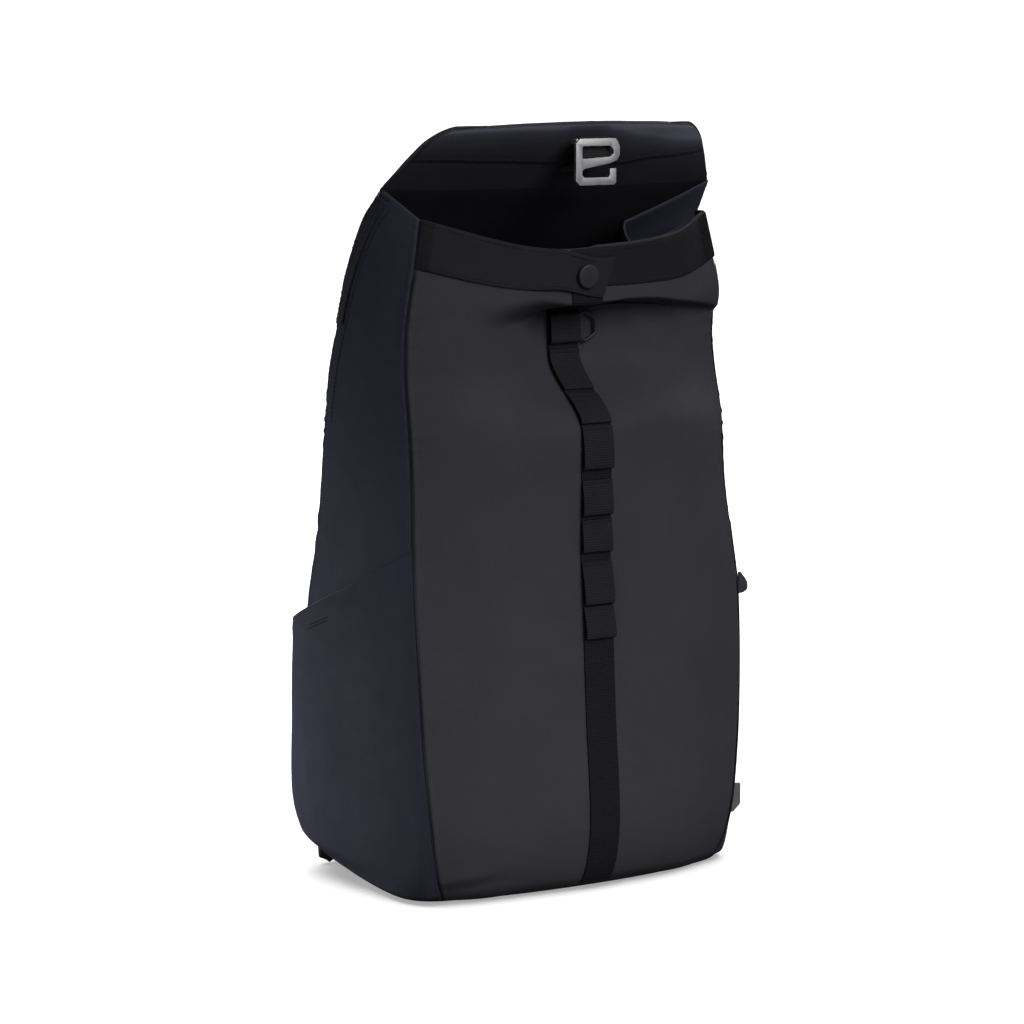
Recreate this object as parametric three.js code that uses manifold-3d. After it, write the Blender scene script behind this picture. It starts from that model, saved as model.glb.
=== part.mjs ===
// Flap backpack, standing open. Millimetres, +Z up, the front faces -Y, the wearer's back is at +Y.
// The origin is on the floor at the middle of the base.
import * as THREE from "three";
import Module from "manifold-3d";
import { mergeVertices } from "three/addons/utils/BufferGeometryUtils.js";

const CLOTH = 1.6; // thickness of the body cloth
const FLAP_CLOTH = 2.4; // outer cloth and lining of the flap together
const WEB = 1.4; // thickness of the webbing
const STRAP_WIDTH = 25; // webbing of the front strap and the hook loop
const SEAM_GAP = 0.4; // between two panels that meet at a seam
const LAY_GAP = 0.5; // between a panel and what lies on it

// Section of the body at each height. The front seams stand at x = +-frontHalf, y = frontY and the back
// seams at x = +-backHalf, y = backY. The middle of the front stands belly forward of its seams, the
// middle of the back hood forward of its own, the sides bow out by sideBow and more squarely by flare, the
// right front seam is set back by setBack and the right side bows out by rightBow more.
const BODY = table(
  [
    ["z", "frontHalf", "frontY", "belly", "backHalf", "backY"],
    ["hood", "sideBow", "flare", "setBack", "rightBow"],
  ].flat(),
  [
    [0, 114, -72, 13, 116, 64, -4, 3, 15, 3, 0],
    [8, 121, -80, 15, 126, 69, -5, 4, 13, 4, 0],
    [30, 130, -87, 16, 140, 74, -6, 5, 7, 6, 0],
    [60, 135, -89, 16, 149, 75, -6, 5, 2, 6.5, 0],
    [120, 140, -87, 13, 149, 68, -6, 5, 0, 6.5, 0],
    [200, 142, -82, 13, 147.5, 58, -6, 6, 0, 6.5, 0],
    [242, 140, -75, 17, 145, 50.5, -6, 7, 0, 6, 1],
    [280, 137, -69.5, 23, 143.5, 45.5, -6, 8, 0, 5.5, 3.5],
    [330, 136, -64.5, 28, 142.5, 40.5, -5, 8, 0, 4.5, 2.5],
    [365, 135, -58, 27, 142, 35.5, -2, 6, 0, 3.2, 0],
    [385, 134.6, -57.3, 26, 142, 29, 0.3, 5.5, 0, 4, 0],
    [400, 134, -57, 25, 142, 23, 3, 5, 0, 3, 0],
    [418, 131.2, -56.4, 25, 142, 16.6, 7.6, 4.2, 0, -1, 0],
    [440, 126.5, -55.5, 25, 142, 8, 14, 3, 0, -1.8, 0],
    [477, 120, -54, 29, 142, -14, 21, 1, 0, 0, 0],
    [497, 117, -53, 30, 138, -31, 24, 0, 0, 0, 0],
  ],
);
const SET_IN = 0.66; // the right front seam also stands in by this share of setBack
const BELLY_POWER = 2.4; // how square the front's bow is across its width

// The mouth across the front, from the left seam (s = -1) to the right one: height of the rim, of the lower
// edge of the bands and of the crease below them, and the share of the full dent at the crease.
const MOUTH = table(
  ["s", "rim", "bandLow", "crease", "dent"],
  [
    [-1, 476, 440, 396, 0],
    [-0.65, 463.5, 429, 403.5, 0.04],
    [-0.38, 456, 423.5, 407.5, 0.5],
    [-0.143, 453.5, 423, 410.5, 1],
    [0, 454, 424, 411.5, 1],
    [0.143, 454.5, 425, 412.5, 1],
    [0.4, 456.5, 427, 413.5, 0.82],
    [0.7, 461.5, 431, 409.5, 0.5],
    [1, 475, 443, 404, 0.12],
  ],
);
const DENT = { depth: 33, lip: 5, under: 2.5, flat: 33, end: 85 };

// Rows of the panels, as shares of three stretches: base to knee, knee to the bands, bands to rim.
const KNEE_V = 0.5;
const BAND_V = 0.85;
const KNEE_DROP = 99; // below the bands' lower edge at the middle of the front
const KNEE_SPREAD = 18; // more drop at the seams
const ROWS_LOW = [0, 0.02, 0.06, 0.12, 0.22, 0.36, 0.52, 0.68, 0.84];
const ROWS_HIGH = [0, 0.2, 0.4, 0.55, 0.68, 0.78, 0.843, 0.876, 0.922];
const ROWS_BAND = [0, 0.33, 0.66, 1];
const FRONT_COLUMNS = 14;
const SIDE_COLUMNS = [0, 0.06, 0.17, 0.29, 0.4, 0.45, 0.5, 0.55, 0.6, 0.71, 0.83, 0.94, 1];
const BACK_SEAM = { foot: 19, knee: 306, band: 458, top: 497 }; // heights at the same rows
const FRONT_FOOT = { middle: 3.4, lean: 1.4 }; // lower edge of the front, higher at the right
const SIDE_FOOT = { sag: 4.5, to: 0.12 }; // how far the sides' lower edges sag between their seams

// The top of the right side is folded in between the front and the back.
const FOLD = {
  tipX: 47,
  radius: 4.5,
  turn: 0.4,
  clear: 5,
  set: 9,
  end: 0.06,
  drop: 16,
  below: 2,
  from: 0.7,
  to: 0.96,
};

const FLAP = { topZ: 538, topHalf: 108.5, topY: -59, topHood: 25, crown: 4.5, corner: 13 };
const FLAP_ROWS = [0, 0.18, 0.36, 0.52, 0.66, 0.79, 0.88, 0.95, 1];
const HEM = { firstRow: 3, lastRow: 7, cloth: 1.2 };
const PIPING = { radius: 1.2, alongTop: 20, clear: 0.4 };

const HOOK = {
  axisY: -88.6,
  axisZ: 529,
  width: 36.5,
  height: 32.1,
  above: 1.7,
  plate: 2.6,
  forward: 3.1,
  bar: 5.1,
  chamfer: 3.2,
  pin: 1.3,
  lug: 3,
  short: 3,
  rise: 11.2,
};
const HOOK_LOOP = { inside: 1.75, wall: 1.2, lowW: 0.42, endW: 0.34 };
// Webbing in front of the pin: how far behind the axis and how far below it
const HOOK_HANG = [[-0.6, 3.5], [-0.45, 6], [-0.2, 10], [0.5, 13.2], [3.2, 15]];

const LEFT_BAND_END = 0.18;
const RIGHT_BAND_END = -0.07;
const BAND_TIP_SLANT = 0.09;
const BAND_DROOP = 8; // how far the left band's free end hangs below the right one
const SNAP = { radius: 8, height: 3, edge: 1.2, s: 0, share: 0.58 };

// Front strap: loops from the top down, with the height of each end and how far it stands off.
const LOOPS = [
  { top: 381, low: 353.5, stand: 1.2 },
  { top: 350, low: 332, stand: 1.6 },
  { top: 330, low: 301, stand: 3 },
  { top: 292.5, low: 268.5, stand: 3 },
  { top: 264.5, low: 242, stand: 3 },
  { top: 234.5, low: 205, stand: 3.2 },
  { top: 203, low: 181, stand: 3.6 },
];
// A loop's run down the strap (share of its length) and off it (share of its stand).
const LOOP_RUN = [
  [0, 0],
  [0.12, 0.2],
  [0.35, 0.6],
  [0.6, 0.9],
  [0.8, 1],
  [0.93, 0.82],
  [0.99, 0.45],
  [1, 0],
];
const RING = { x: 17, z: 396.6, across: 23.4, wire: 1.3 };
const RING_TAB = { top: 407.3, low: 385.5, stand: 3.6 };
const TAB_RUN = [
  [0, 0],
  [0.02, 0.5],
  [0.06, 1],
  [0.5, 1],
  [0.94, 1],
  [0.98, 0.5],
  [1, 0],
];

const POCKET = {
  frontZ: 250,
  backZ: 184,
  foot: 0.006,
  edge: 0.01,
  leftBulge: 17,
  rightBulge: 12,
  sag: 0.35,
  gap: 0.8,
};
const POCKET_ROWS = [0, 0.03, 0.08, 0.18, 0.34, 0.54, 0.76, 0.9, 1];
// Share of the pocket's bulge from the front seam to the back seam.
const POCKET_FORM = table(
  ["u", "bulge"],
  [
    [0, 0],
    [0.2, 0.29],
    [0.4, 0.53],
    [0.6, 0.86],
    [0.75, 1],
    [0.88, 0.9],
    [0.96, 0.5],
    [1, 0],
  ],
);
const TAPE = { width: 9, inset: 1.5, from: 0.7, to: 0.985, thick: 1 };
const SEAM_TAB = { y: -71, z: 204, tall: 15, out: 6.2, thick: 2.6 };
const HEM_TAB = { y: -70, z: 44, tall: 20, out: 6.4, thick: 3 };

const PAD = { half: 138, topZ: 424, footZ: 0, footAs: 40, thick: 13, edge: 5 };
// Shoulder strap from its foot up: distance from the middle, clearance from the pad, width and thickness.
const SHOULDER = table(
  ["z", "x", "clear", "width", "thick"],
  [
    [142, 97, 8, 50, 8],
    [160, 96.5, 9, 54, 10],
    [220, 95, 14, 58, 11],
    [280, 91, 14, 60, 11],
    [340, 80, 9, 60, 11],
    [400, 60, 4, 60, 10],
    [428, 51, 4.2, 58, 7],
    [443, 48, 0.1, 56, 4],
  ],
);
const SHOULDER_FOOT = 142;
const SHOULDER_HEAD = 443;
const SHOULDER_ROWS = 14;
const SHOULDER_RING = 10; // points round a section
const LOCK = { width: 36, tall: 30, thick: 4, z: 128, slot: 5, bar: 6 };
const LOWER_WEB = { lowZ: 30, flatZ: 46, lowX: 103 };
const HANDLE = { half: 44, foot: 13, rise: 24, width: 22, thick: 2.4, z: 458 };

const COLOURS = {
  charcoal: 0x323136,
  navy: 0x26293a,
  black: 0x1d1e21,
  grey: 0x6f7276,
  metal: 0xa4a6aa,
};

/** Rows of named columns, each column read at any first value through a smooth curve. */
function table(names, rows) {
  const at = rows.map((row) => row[0]);
  const columns = {};
  names.slice(1).forEach((name, k) => {
    const value = rows.map((row) => row[k + 1]);
    const slope = value.map((_, i) => {
      const a = Math.max(i - 1, 0);
      const b = Math.min(i + 1, value.length - 1);
      return (value[b] - value[a]) / (at[b] - at[a]);
    });
    columns[name] = (x) => {
      const inside = Math.min(Math.max(x, at[0]), at[at.length - 1]);
      let i = 0;
      while (i < at.length - 2 && inside > at[i + 1]) i += 1;
      const span = at[i + 1] - at[i];
      const t = (inside - at[i]) / span;
      const bend = t * t * (3 - 2 * t);
      const lead = t * (1 - t) * (1 - t) * span * slope[i];
      const trail = t * t * (t - 1) * span * slope[i + 1];
      return value[i] * (1 - bend) + value[i + 1] * bend + lead + trail;
    };
  });
  return columns;
}

const vec = (x, y, z) => new THREE.Vector3(x, y, z);
const mix = THREE.MathUtils.lerp;
const ramp = (x, from, to) => THREE.MathUtils.smoothstep(x, from, to);
const steps = (count, from = 0, to = 1) =>
  Array.from({ length: count + 1 }, (_, i) => mix(from, to, i / count));

/** Height at a row's share v, through the heights at the base, the knee, the bands and the top. */
function rowHeight(v, foot, knee, band, top) {
  if (v <= KNEE_V) return mix(foot, knee, v / KNEE_V);
  if (v <= BAND_V) return mix(knee, band, (v - KNEE_V) / (BAND_V - KNEE_V));
  return mix(band, top, (v - BAND_V) / (1 - BAND_V));
}

const ROWS = [
  ...ROWS_LOW.map((t) => t * KNEE_V),
  ...ROWS_HIGH.map((t) => mix(KNEE_V, BAND_V, t)),
  ...ROWS_BAND.map((t) => mix(BAND_V, 1, t)),
];
const BAND_ROW = ROWS_LOW.length + ROWS_HIGH.length;

const frontFoot = (s) => FRONT_FOOT.middle + FRONT_FOOT.lean * s;
const kneeHeight = (s) => MOUTH.bandLow(0) - KNEE_DROP - KNEE_SPREAD * s * s;

/** Height on the front at s across (-1 to 1) and row share v. */
function frontHeight(s, v) {
  return rowHeight(v, frontFoot(s), kneeHeight(s), MOUTH.bandLow(s), MOUTH.rim(s));
}

/** How far the crease under the bands presses the front in. */
function dentAt(s, z) {
  const crease = MOUTH.crease(s);
  const above = 1 - ramp(z, crease - DENT.under, crease + DENT.lip);
  const below = ramp(z, crease - DENT.end, crease - DENT.flat);
  return DENT.depth * Math.max(MOUTH.dent(s), 0) * above * below;
}

/** Front face at s across and height z. */
function frontAt(s, z) {
  const bow = BODY.belly(z) * (1 - Math.abs(s) ** BELLY_POWER);
  const set = s > 0 ? s * s * BODY.setBack(z) : 0;
  const y = BODY.frontY(z) - bow + dentAt(s, z) + set;
  return vec(s * BODY.frontHalf(z) - SET_IN * set, y, z);
}

const front = (s, v) => frontAt(s, frontHeight(s, v));

/** Back seam at a row share, on the side given by sign. */
function backSeam(v, sign) {
  const z = rowHeight(v, BACK_SEAM.foot, BACK_SEAM.knee, BACK_SEAM.band, BACK_SEAM.top);
  return vec(sign * BODY.backHalf(z), BODY.backY(z), z);
}

/** Back face at s across and row share v. */
function back(s, v) {
  const z = rowHeight(v, BACK_SEAM.foot, BACK_SEAM.knee, BACK_SEAM.band, BACK_SEAM.top);
  const bow = BODY.hood(z) * (1 - s * s);
  return vec(s * BODY.backHalf(z), BODY.backY(z) - bow, z);
}

/** Folded top of the right side at u from the front seam to the back seam. */
function foldAt(u, start, end) {
  const { tipX, radius, turn, clear, set, end: margin, drop, below } = FOLD;
  const hood = BODY.hood(end.z);
  const behind = (x) => end.y - hood * (1 - (x / end.x) ** 2);
  const inX = tipX + radius;
  const tipY = behind(inX) - clear - radius;
  const tipZ = (start.z + end.z) / 2 - drop;
  const away = Math.min(u / margin, (1 - u) / margin, 1);
  if (u <= turn) {
    const t = Math.max((u - margin) / (turn - margin), 0);
    const z = mix(start.z, tipZ - drop, Math.sqrt(t));
    return vec(mix(start.x - 2 * away, inX, t), mix(start.y + set * away, tipY - radius, t), z);
  }
  if (u >= 1 - turn) {
    const t = Math.min((u - 1 + turn) / (turn - margin), 1);
    const x = mix(inX, end.x - 2 * away, t);
    return vec(x, behind(x) - clear * away, mix(tipZ, end.z - below * away, t));
  }
  const share = (u - turn) / (1 - 2 * turn);
  const angle = Math.PI * (share - 0.5);
  const z = mix(tipZ - drop, tipZ, ramp(share, 0, 1));
  return vec(inX - radius * Math.cos(angle), tipY + radius * Math.sin(angle), z);
}

/** Side face at u from the front seam to the back seam and row share v; sign is -1 at the left. */
function side(u, v, sign) {
  const start = front(sign, v);
  const end = backSeam(v, sign);
  const flat = start.clone().lerp(end, u);
  const along = end.clone().sub(start).setZ(0).normalize();
  const round = 4 * u * (1 - u);
  const square = (1 - (2 * u - 1) ** 6) * (1 - 0.7 * u);
  const more = sign > 0 ? BODY.rightBow(flat.z) : 0;
  const bow = (BODY.sideBow(flat.z) + more) * round + BODY.flare(flat.z) * square;
  flat.add(vec(along.y, -along.x, 0).multiplyScalar(sign * bow));
  flat.z -= SIDE_FOOT.sag * round * (1 - ramp(v, 0, SIDE_FOOT.to));
  const folded = sign > 0 ? ramp(v, FOLD.from, FOLD.to) : 0;
  return folded > 0 ? flat.lerp(foldAt(u, start, end), folded) : flat;
}

const flapSlant = (w) => mix(BODY.backHalf(BACK_SEAM.top), FLAP.topHalf, w);

/** Half width of the flap at w from the shoulder (0) to the top edge (1), with rounded top corners. */
function flapHalf(w) {
  const height = FLAP.topZ - BACK_SEAM.top;
  const left = Math.max(FLAP.corner - (1 - w) * height, 0) / FLAP.corner;
  return flapSlant(w) - FLAP.corner * (1 - Math.sqrt(1 - left * left));
}

/** Outer face of the flap at s across and w up. */
function flap(s, w) {
  const x = s * flapHalf(w);
  const hood = mix(BODY.hood(BACK_SEAM.top), FLAP.topHood, w) * (1 - (x / flapSlant(w)) ** 2);
  const y = mix(BODY.backY(BACK_SEAM.top), FLAP.topY, w) - hood;
  const crown = FLAP.crown * w * (1 - (x / flapSlant(w)) ** 2);
  return vec(x, y, mix(BACK_SEAM.top, FLAP.topZ, w) + crown);
}

/** Unit normal of a surface at (a, b), within its range. */
function normalAt(surface, a, b, lowA, highA, lowB, highB, facing) {
  const tiny = 1e-3;
  const a0 = Math.max(a - tiny, lowA);
  const a1 = Math.min(a + tiny, highA);
  const b0 = Math.max(b - tiny, lowB);
  const b1 = Math.min(b + tiny, highB);
  const across = surface(a1, b).sub(surface(a0, b));
  const up = surface(a, b1).sub(surface(a, b0));
  return across.cross(up).normalize().multiplyScalar(facing);
}

/** Grid of points on a surface with the outward normals there. */
function grid(surface, columns, rows, facing) {
  const lowA = columns[0];
  const highA = columns[columns.length - 1];
  const points = rows.map((b) => columns.map((a) => surface(a, b)));
  const normals = rows.map((b) =>
    columns.map((a) => normalAt(surface, a, b, lowA, highA, 0, 1, facing)),
  );
  return { points, normals, push: normals.map((row) => row.map((n) => n.clone())) };
}

/** Vector from a seam's outer edge to its inner one, for cloth of unit thickness on both panels. */
function mitre(first, second) {
  const middle = first.clone().add(second).normalize();
  return middle.divideScalar(Math.max(middle.dot(first), 0.25));
}

/** Moves the points of one edge away from the seam, along the panel. */
function draw(points, fromEdge, toNext) {
  fromEdge.forEach(([j, i], k) => {
    const [m, n] = toNext[k];
    const along = points[m][n].clone().sub(points[j][i]).normalize();
    points[j][i] = points[j][i].clone().addScaledVector(along, SEAM_GAP / 2);
  });
}

const columnOf = (panel, i) => panel.points.map((_, j) => [j, i]);
const rowOf = (panel, j) => panel.points[j].map((_, i) => [j, i]);
const lastColumn = (panel) => panel.points[0].length - 1;
const lastRow = (panel) => panel.points.length - 1;

/** Joins an edge of one panel to an edge of another, so that their cloth meets in a mitre. */
function seam(first, firstEdge, firstNext, second, secondEdge, secondNext) {
  firstEdge.forEach(([j, i], k) => {
    const [m, n] = secondEdge[k];
    const shared = mitre(first.normals[j][i], second.normals[m][n]);
    first.push[j][i] = shared;
    second.push[m][n] = shared;
  });
  draw(first.points, firstEdge, firstNext);
  draw(second.points, secondEdge, secondNext);
}

/** Closed body between two grids of points with the same rows and columns. */
function between(outer, inner) {
  const rows = outer.length;
  const columns = outer[0].length;
  const index = (layer, j, i) => layer * rows * columns + j * columns + i;
  const faces = [];
  const quad = (a, b, c, d) => faces.push(a, b, c, a, c, d);
  for (let j = 0; j < rows - 1; j += 1)
    for (let i = 0; i < columns - 1; i += 1) {
      quad(index(0, j, i), index(0, j, i + 1), index(0, j + 1, i + 1), index(0, j + 1, i));
      quad(index(1, j, i), index(1, j + 1, i), index(1, j + 1, i + 1), index(1, j, i + 1));
    }
  for (let i = 0; i < columns - 1; i += 1) {
    quad(index(0, 0, i + 1), index(0, 0, i), index(1, 0, i), index(1, 0, i + 1));
    const top = rows - 1;
    quad(index(0, top, i), index(0, top, i + 1), index(1, top, i + 1), index(1, top, i));
  }
  for (let j = 0; j < rows - 1; j += 1) {
    const end = columns - 1;
    quad(index(0, j, 0), index(0, j + 1, 0), index(1, j + 1, 0), index(1, j, 0));
    quad(index(0, j + 1, end), index(0, j, end), index(1, j, end), index(1, j + 1, end));
  }
  return bodyOf([...outer.flat(), ...inner.flat()], faces);
}

/** Geometry from points and triangles, turned so that its faces point out. */
function bodyOf(points, faces) {
  let volume = 0;
  for (let k = 0; k < faces.length; k += 3) {
    const [a, b, c] = [points[faces[k]], points[faces[k + 1]], points[faces[k + 2]]];
    volume += a.dot(b.clone().cross(c));
  }
  const backwards = (k) => k - (k % 3) + ((3 - (k % 3)) % 3);
  const turned = volume < 0 ? faces.map((_, k) => faces[backwards(k)]) : faces;
  const geometry = new THREE.BufferGeometry();
  const values = points.flatMap((p) => [p.x, p.y, p.z]);
  geometry.setAttribute("position", new THREE.Float32BufferAttribute(values, 3));
  geometry.setIndex(turned);
  return geometry;
}

/** Cloth wall of a panel, its inner face moved in from the outer one. */
function wall(panel, thickness) {
  const inner = panel.points.map((row, j) =>
    row.map((p, i) => p.clone().addScaledVector(panel.push[j][i], -thickness)),
  );
  return between(panel.points, inner);
}

/** Layer that lies on a surface, from one distance off it to another. */
function layer(surface, columns, rows, facing, from, to, limits = [-1, 1]) {
  const at = (a, b, off) => {
    const distance = typeof off === "function" ? off(a, b) : off;
    const normal = normalAt(surface, a, b, limits[0], limits[1], 0, 1, facing);
    return surface(a, b).addScaledVector(normal, distance);
  };
  const outer = rows.map((b) => columns(b).map((a) => at(a, b, to)));
  const inner = rows.map((b) => columns(b).map((a) => at(a, b, from)));
  return between(outer, inner);
}

/** Strip of webbing along a line in a plane across X, given as its middle points. */
function ribbon(line, left, right, thickness) {
  const normals = line.map((_, k) => {
    const next = line[Math.min(k + 1, line.length - 1)];
    const last = line[Math.max(k - 1, 0)];
    return vec(0, -(next.z - last.z), next.y - last.y).normalize();
  });
  const edge = (share) =>
    line.map((p, k) => {
      const q = p.clone().addScaledVector(normals[k], share * thickness);
      return [q.clone().setX(left), q.clone().setX(right)];
    });
  return between(edge(0.5), edge(-0.5));
}

/** Round tube along a smooth line. */
function tube(points, radius, pieces) {
  const path = new THREE.CatmullRomCurve3(points, false, "centripetal");
  const profile = new THREE.Shape();
  steps(6).forEach((t, k) => {
    const angle = t * 2 * Math.PI;
    const [x, y] = [radius * Math.cos(angle), radius * Math.sin(angle)];
    if (k === 0) profile.moveTo(x, y);
    else if (k < 6) profile.lineTo(x, y);
  });
  profile.closePath();
  return new THREE.ExtrudeGeometry(profile, { steps: pieces, extrudePath: path, bevelEnabled: false });
}

/** Flat shape in X and Z, thick along Y from y to y + thickness. */
function plate(outline, holes, y, thickness) {
  const shape = new THREE.Shape(outline.map(([x, z]) => new THREE.Vector2(x, z)));
  shape.holes = holes.map((hole) => new THREE.Path(hole.map(([x, z]) => new THREE.Vector2(x, z))));
  const geometry = new THREE.ExtrudeGeometry(shape, { depth: thickness, bevelEnabled: false });
  return geometry.rotateX(Math.PI / 2).translate(0, y + thickness, 0);
}

const wasm = await Module();
wasm.setup();

/** One body from several that touch or cross. */
function joined(geometries) {
  const solids = geometries.map((geometry) => {
    const bare = new THREE.BufferGeometry();
    const source = geometry.index ? geometry.toNonIndexed() : geometry;
    bare.setAttribute("position", source.getAttribute("position"));
    const merged = mergeVertices(bare, 1e-3);
    const triVerts = new Uint32Array(merged.index.array);
    return new wasm.Manifold(
      new wasm.Mesh({ numProp: 3, vertProperties: merged.attributes.position.array, triVerts }),
    );
  });
  const mesh = solids.reduce((a, b) => a.add(b)).getMesh();
  const geometry = new THREE.BufferGeometry();
  geometry.setAttribute("position", new THREE.BufferAttribute(new Float32Array(mesh.vertProperties), 3));
  geometry.setIndex(new THREE.BufferAttribute(new Uint32Array(mesh.triVerts), 1));
  return geometry;
}

const root = new THREE.Group();
root.name = "flap_backpack";
const finishes = Object.fromEntries(
  Object.entries(COLOURS).map(([name, color]) => [
    name,
    new THREE.MeshStandardMaterial({
      color,
      roughness: name === "metal" ? 0.4 : 0.8,
      metalness: name === "metal" ? 1 : 0,
    }),
  ]),
);

/** Adds a piece to the part under its own name. */
function add(name, geometry, finish) {
  const mesh = new THREE.Mesh(geometry, finishes[finish]);
  mesh.name = name;
  root.add(mesh);
}

/** Front, sides, back and flap, joined at their seams, and the base under them. */
function addBody() {
  const across = steps(FRONT_COLUMNS, -1, 1);
  const frontPanel = grid(front, across, ROWS, 1);
  const backPanel = grid(back, across, ROWS, -1);
  const leftPanel = grid((u, v) => side(u, v, -1), SIDE_COLUMNS, ROWS, -1);
  const rightPanel = grid((u, v) => side(u, v, 1), SIDE_COLUMNS, ROWS, 1);
  const flapPanel = grid(flap, across, FLAP_ROWS, -1);

  const feet = {
    front: frontPanel.normals[0].map((n) => n.clone()),
    back: backPanel.normals[0].map((n) => n.clone()),
    left: leftPanel.normals[0].map((n) => n.clone()),
    right: rightPanel.normals[0].map((n) => n.clone()),
  };
  const corner = (panel, far) => {
    const end = lastColumn(panel);
    return far
      ? [columnOf(panel, end), columnOf(panel, end - 1)]
      : [columnOf(panel, 0), columnOf(panel, 1)];
  };
  seam(frontPanel, ...corner(frontPanel, false), leftPanel, ...corner(leftPanel, false));
  seam(frontPanel, ...corner(frontPanel, true), rightPanel, ...corner(rightPanel, false));
  seam(backPanel, ...corner(backPanel, false), leftPanel, ...corner(leftPanel, true));
  seam(backPanel, ...corner(backPanel, true), rightPanel, ...corner(rightPanel, true));
  const top = lastRow(backPanel);
  const backTop = backPanel.push[top].map((n) => n.clone());
  const backEdge = [rowOf(backPanel, top), rowOf(backPanel, top - 1)];
  seam(backPanel, ...backEdge, flapPanel, rowOf(flapPanel, 0), rowOf(flapPanel, 1));
  [0, lastColumn(backPanel)].forEach((i) => {
    backPanel.push[top][i] = backTop[i];
    flapPanel.push[0][i] = flapPanel.normals[0][i];
  });

  add("front_panel", wall(frontPanel, CLOTH), "charcoal");
  add("side_panel_left", wall(leftPanel, CLOTH), "navy");
  add("side_panel_right", wall(rightPanel, CLOTH), "navy");
  add("back_panel", wall(backPanel, CLOTH), "black");
  add("flap", wall(flapPanel, FLAP_CLOTH), "charcoal");
  addBase(across, feet);
}

/** Base: a flat sheet whose rim turns up to the lower edges of the four walls. */
function addBase(across, feet) {
  const rows = SIDE_COLUMNS;
  const outer = [];
  const inner = [];
  rows.forEach((u, j) => {
    outer.push([]);
    inner.push([]);
    across.forEach((s, i) => {
      const t = (s + 1) / 2;
      const lines = front(s, 0).multiplyScalar(1 - u).addScaledVector(back(s, 0), u);
      lines.addScaledVector(side(u, 0, -1), 1 - t).addScaledVector(side(u, 0, 1), t);
      const corners = front(-1, 0).multiplyScalar((1 - u) * (1 - t));
      corners.addScaledVector(front(1, 0), (1 - u) * t);
      corners.addScaledVector(back(-1, 0), u * (1 - t)).addScaledVector(back(1, 0), u * t);
      const point = lines.sub(corners);
      const edges = [];
      if (j === 0) edges.push(feet.front[i]);
      if (j === rows.length - 1) edges.push(feet.back[i]);
      if (i === 0) edges.push(feet.left[j]);
      if (i === across.length - 1) edges.push(feet.right[j]);
      const push = vec(0, 0, 1);
      if (edges.length) {
        const out = edges.reduce((a, n) => a.clone().add(n), vec(0, 0, 0)).normalize();
        push.set(-out.x, -out.y, Math.max(-out.z, 0));
        point.z -= SEAM_GAP;
      } else point.z = 0;
      outer[j].push(point);
      inner[j].push(point.clone().addScaledVector(push, CLOTH));
    });
  });
  add("base_panel", between(outer, inner), "black");
}

/** Band along the flap's inner top, and the piping round its corners. */
function addFlapTrim() {
  const across = steps(FRONT_COLUMNS, -1, 1).map((s) => s * 0.985);
  const rows = FLAP_ROWS.slice(HEM.firstRow, HEM.lastRow + 1);
  const from = -FLAP_CLOTH - LAY_GAP;
  add("flap_hem", layer(flap, () => across, rows, -1, from, from - HEM.cloth), "charcoal");
  [-1, 1].forEach((sign) => {
    const half = -FLAP_CLOTH / 2;
    const off = PIPING.radius + PIPING.clear;
    const edge = (s, w, away) => {
      const normal = normalAt(flap, s, w, -1, 1, 0, 1, -1);
      return flap(s, w).addScaledVector(normal, half).addScaledVector(away, off);
    };
    const line = steps(10, 0.06, 0.985).map((w) => {
      const tangent = flap(sign, Math.min(w + 0.01, 1)).sub(flap(sign, w - 0.01)).normalize();
      const normal = normalAt(flap, sign, w, -1, 1, 0, 1, -1);
      return edge(sign, w, tangent.cross(normal).multiplyScalar(-sign).normalize());
    });
    const up = flap(0, 1).sub(flap(0, 0.98)).normalize();
    [0.04, 0.6, 1].forEach((share) => {
      line.push(edge(sign * (1 - (share * PIPING.alongTop) / flapHalf(1)), 1, up));
    });
    add(`flap_piping_${sign < 0 ? "left" : "right"}`, tube(line, PIPING.radius, 18), "black");
  });
}

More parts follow.
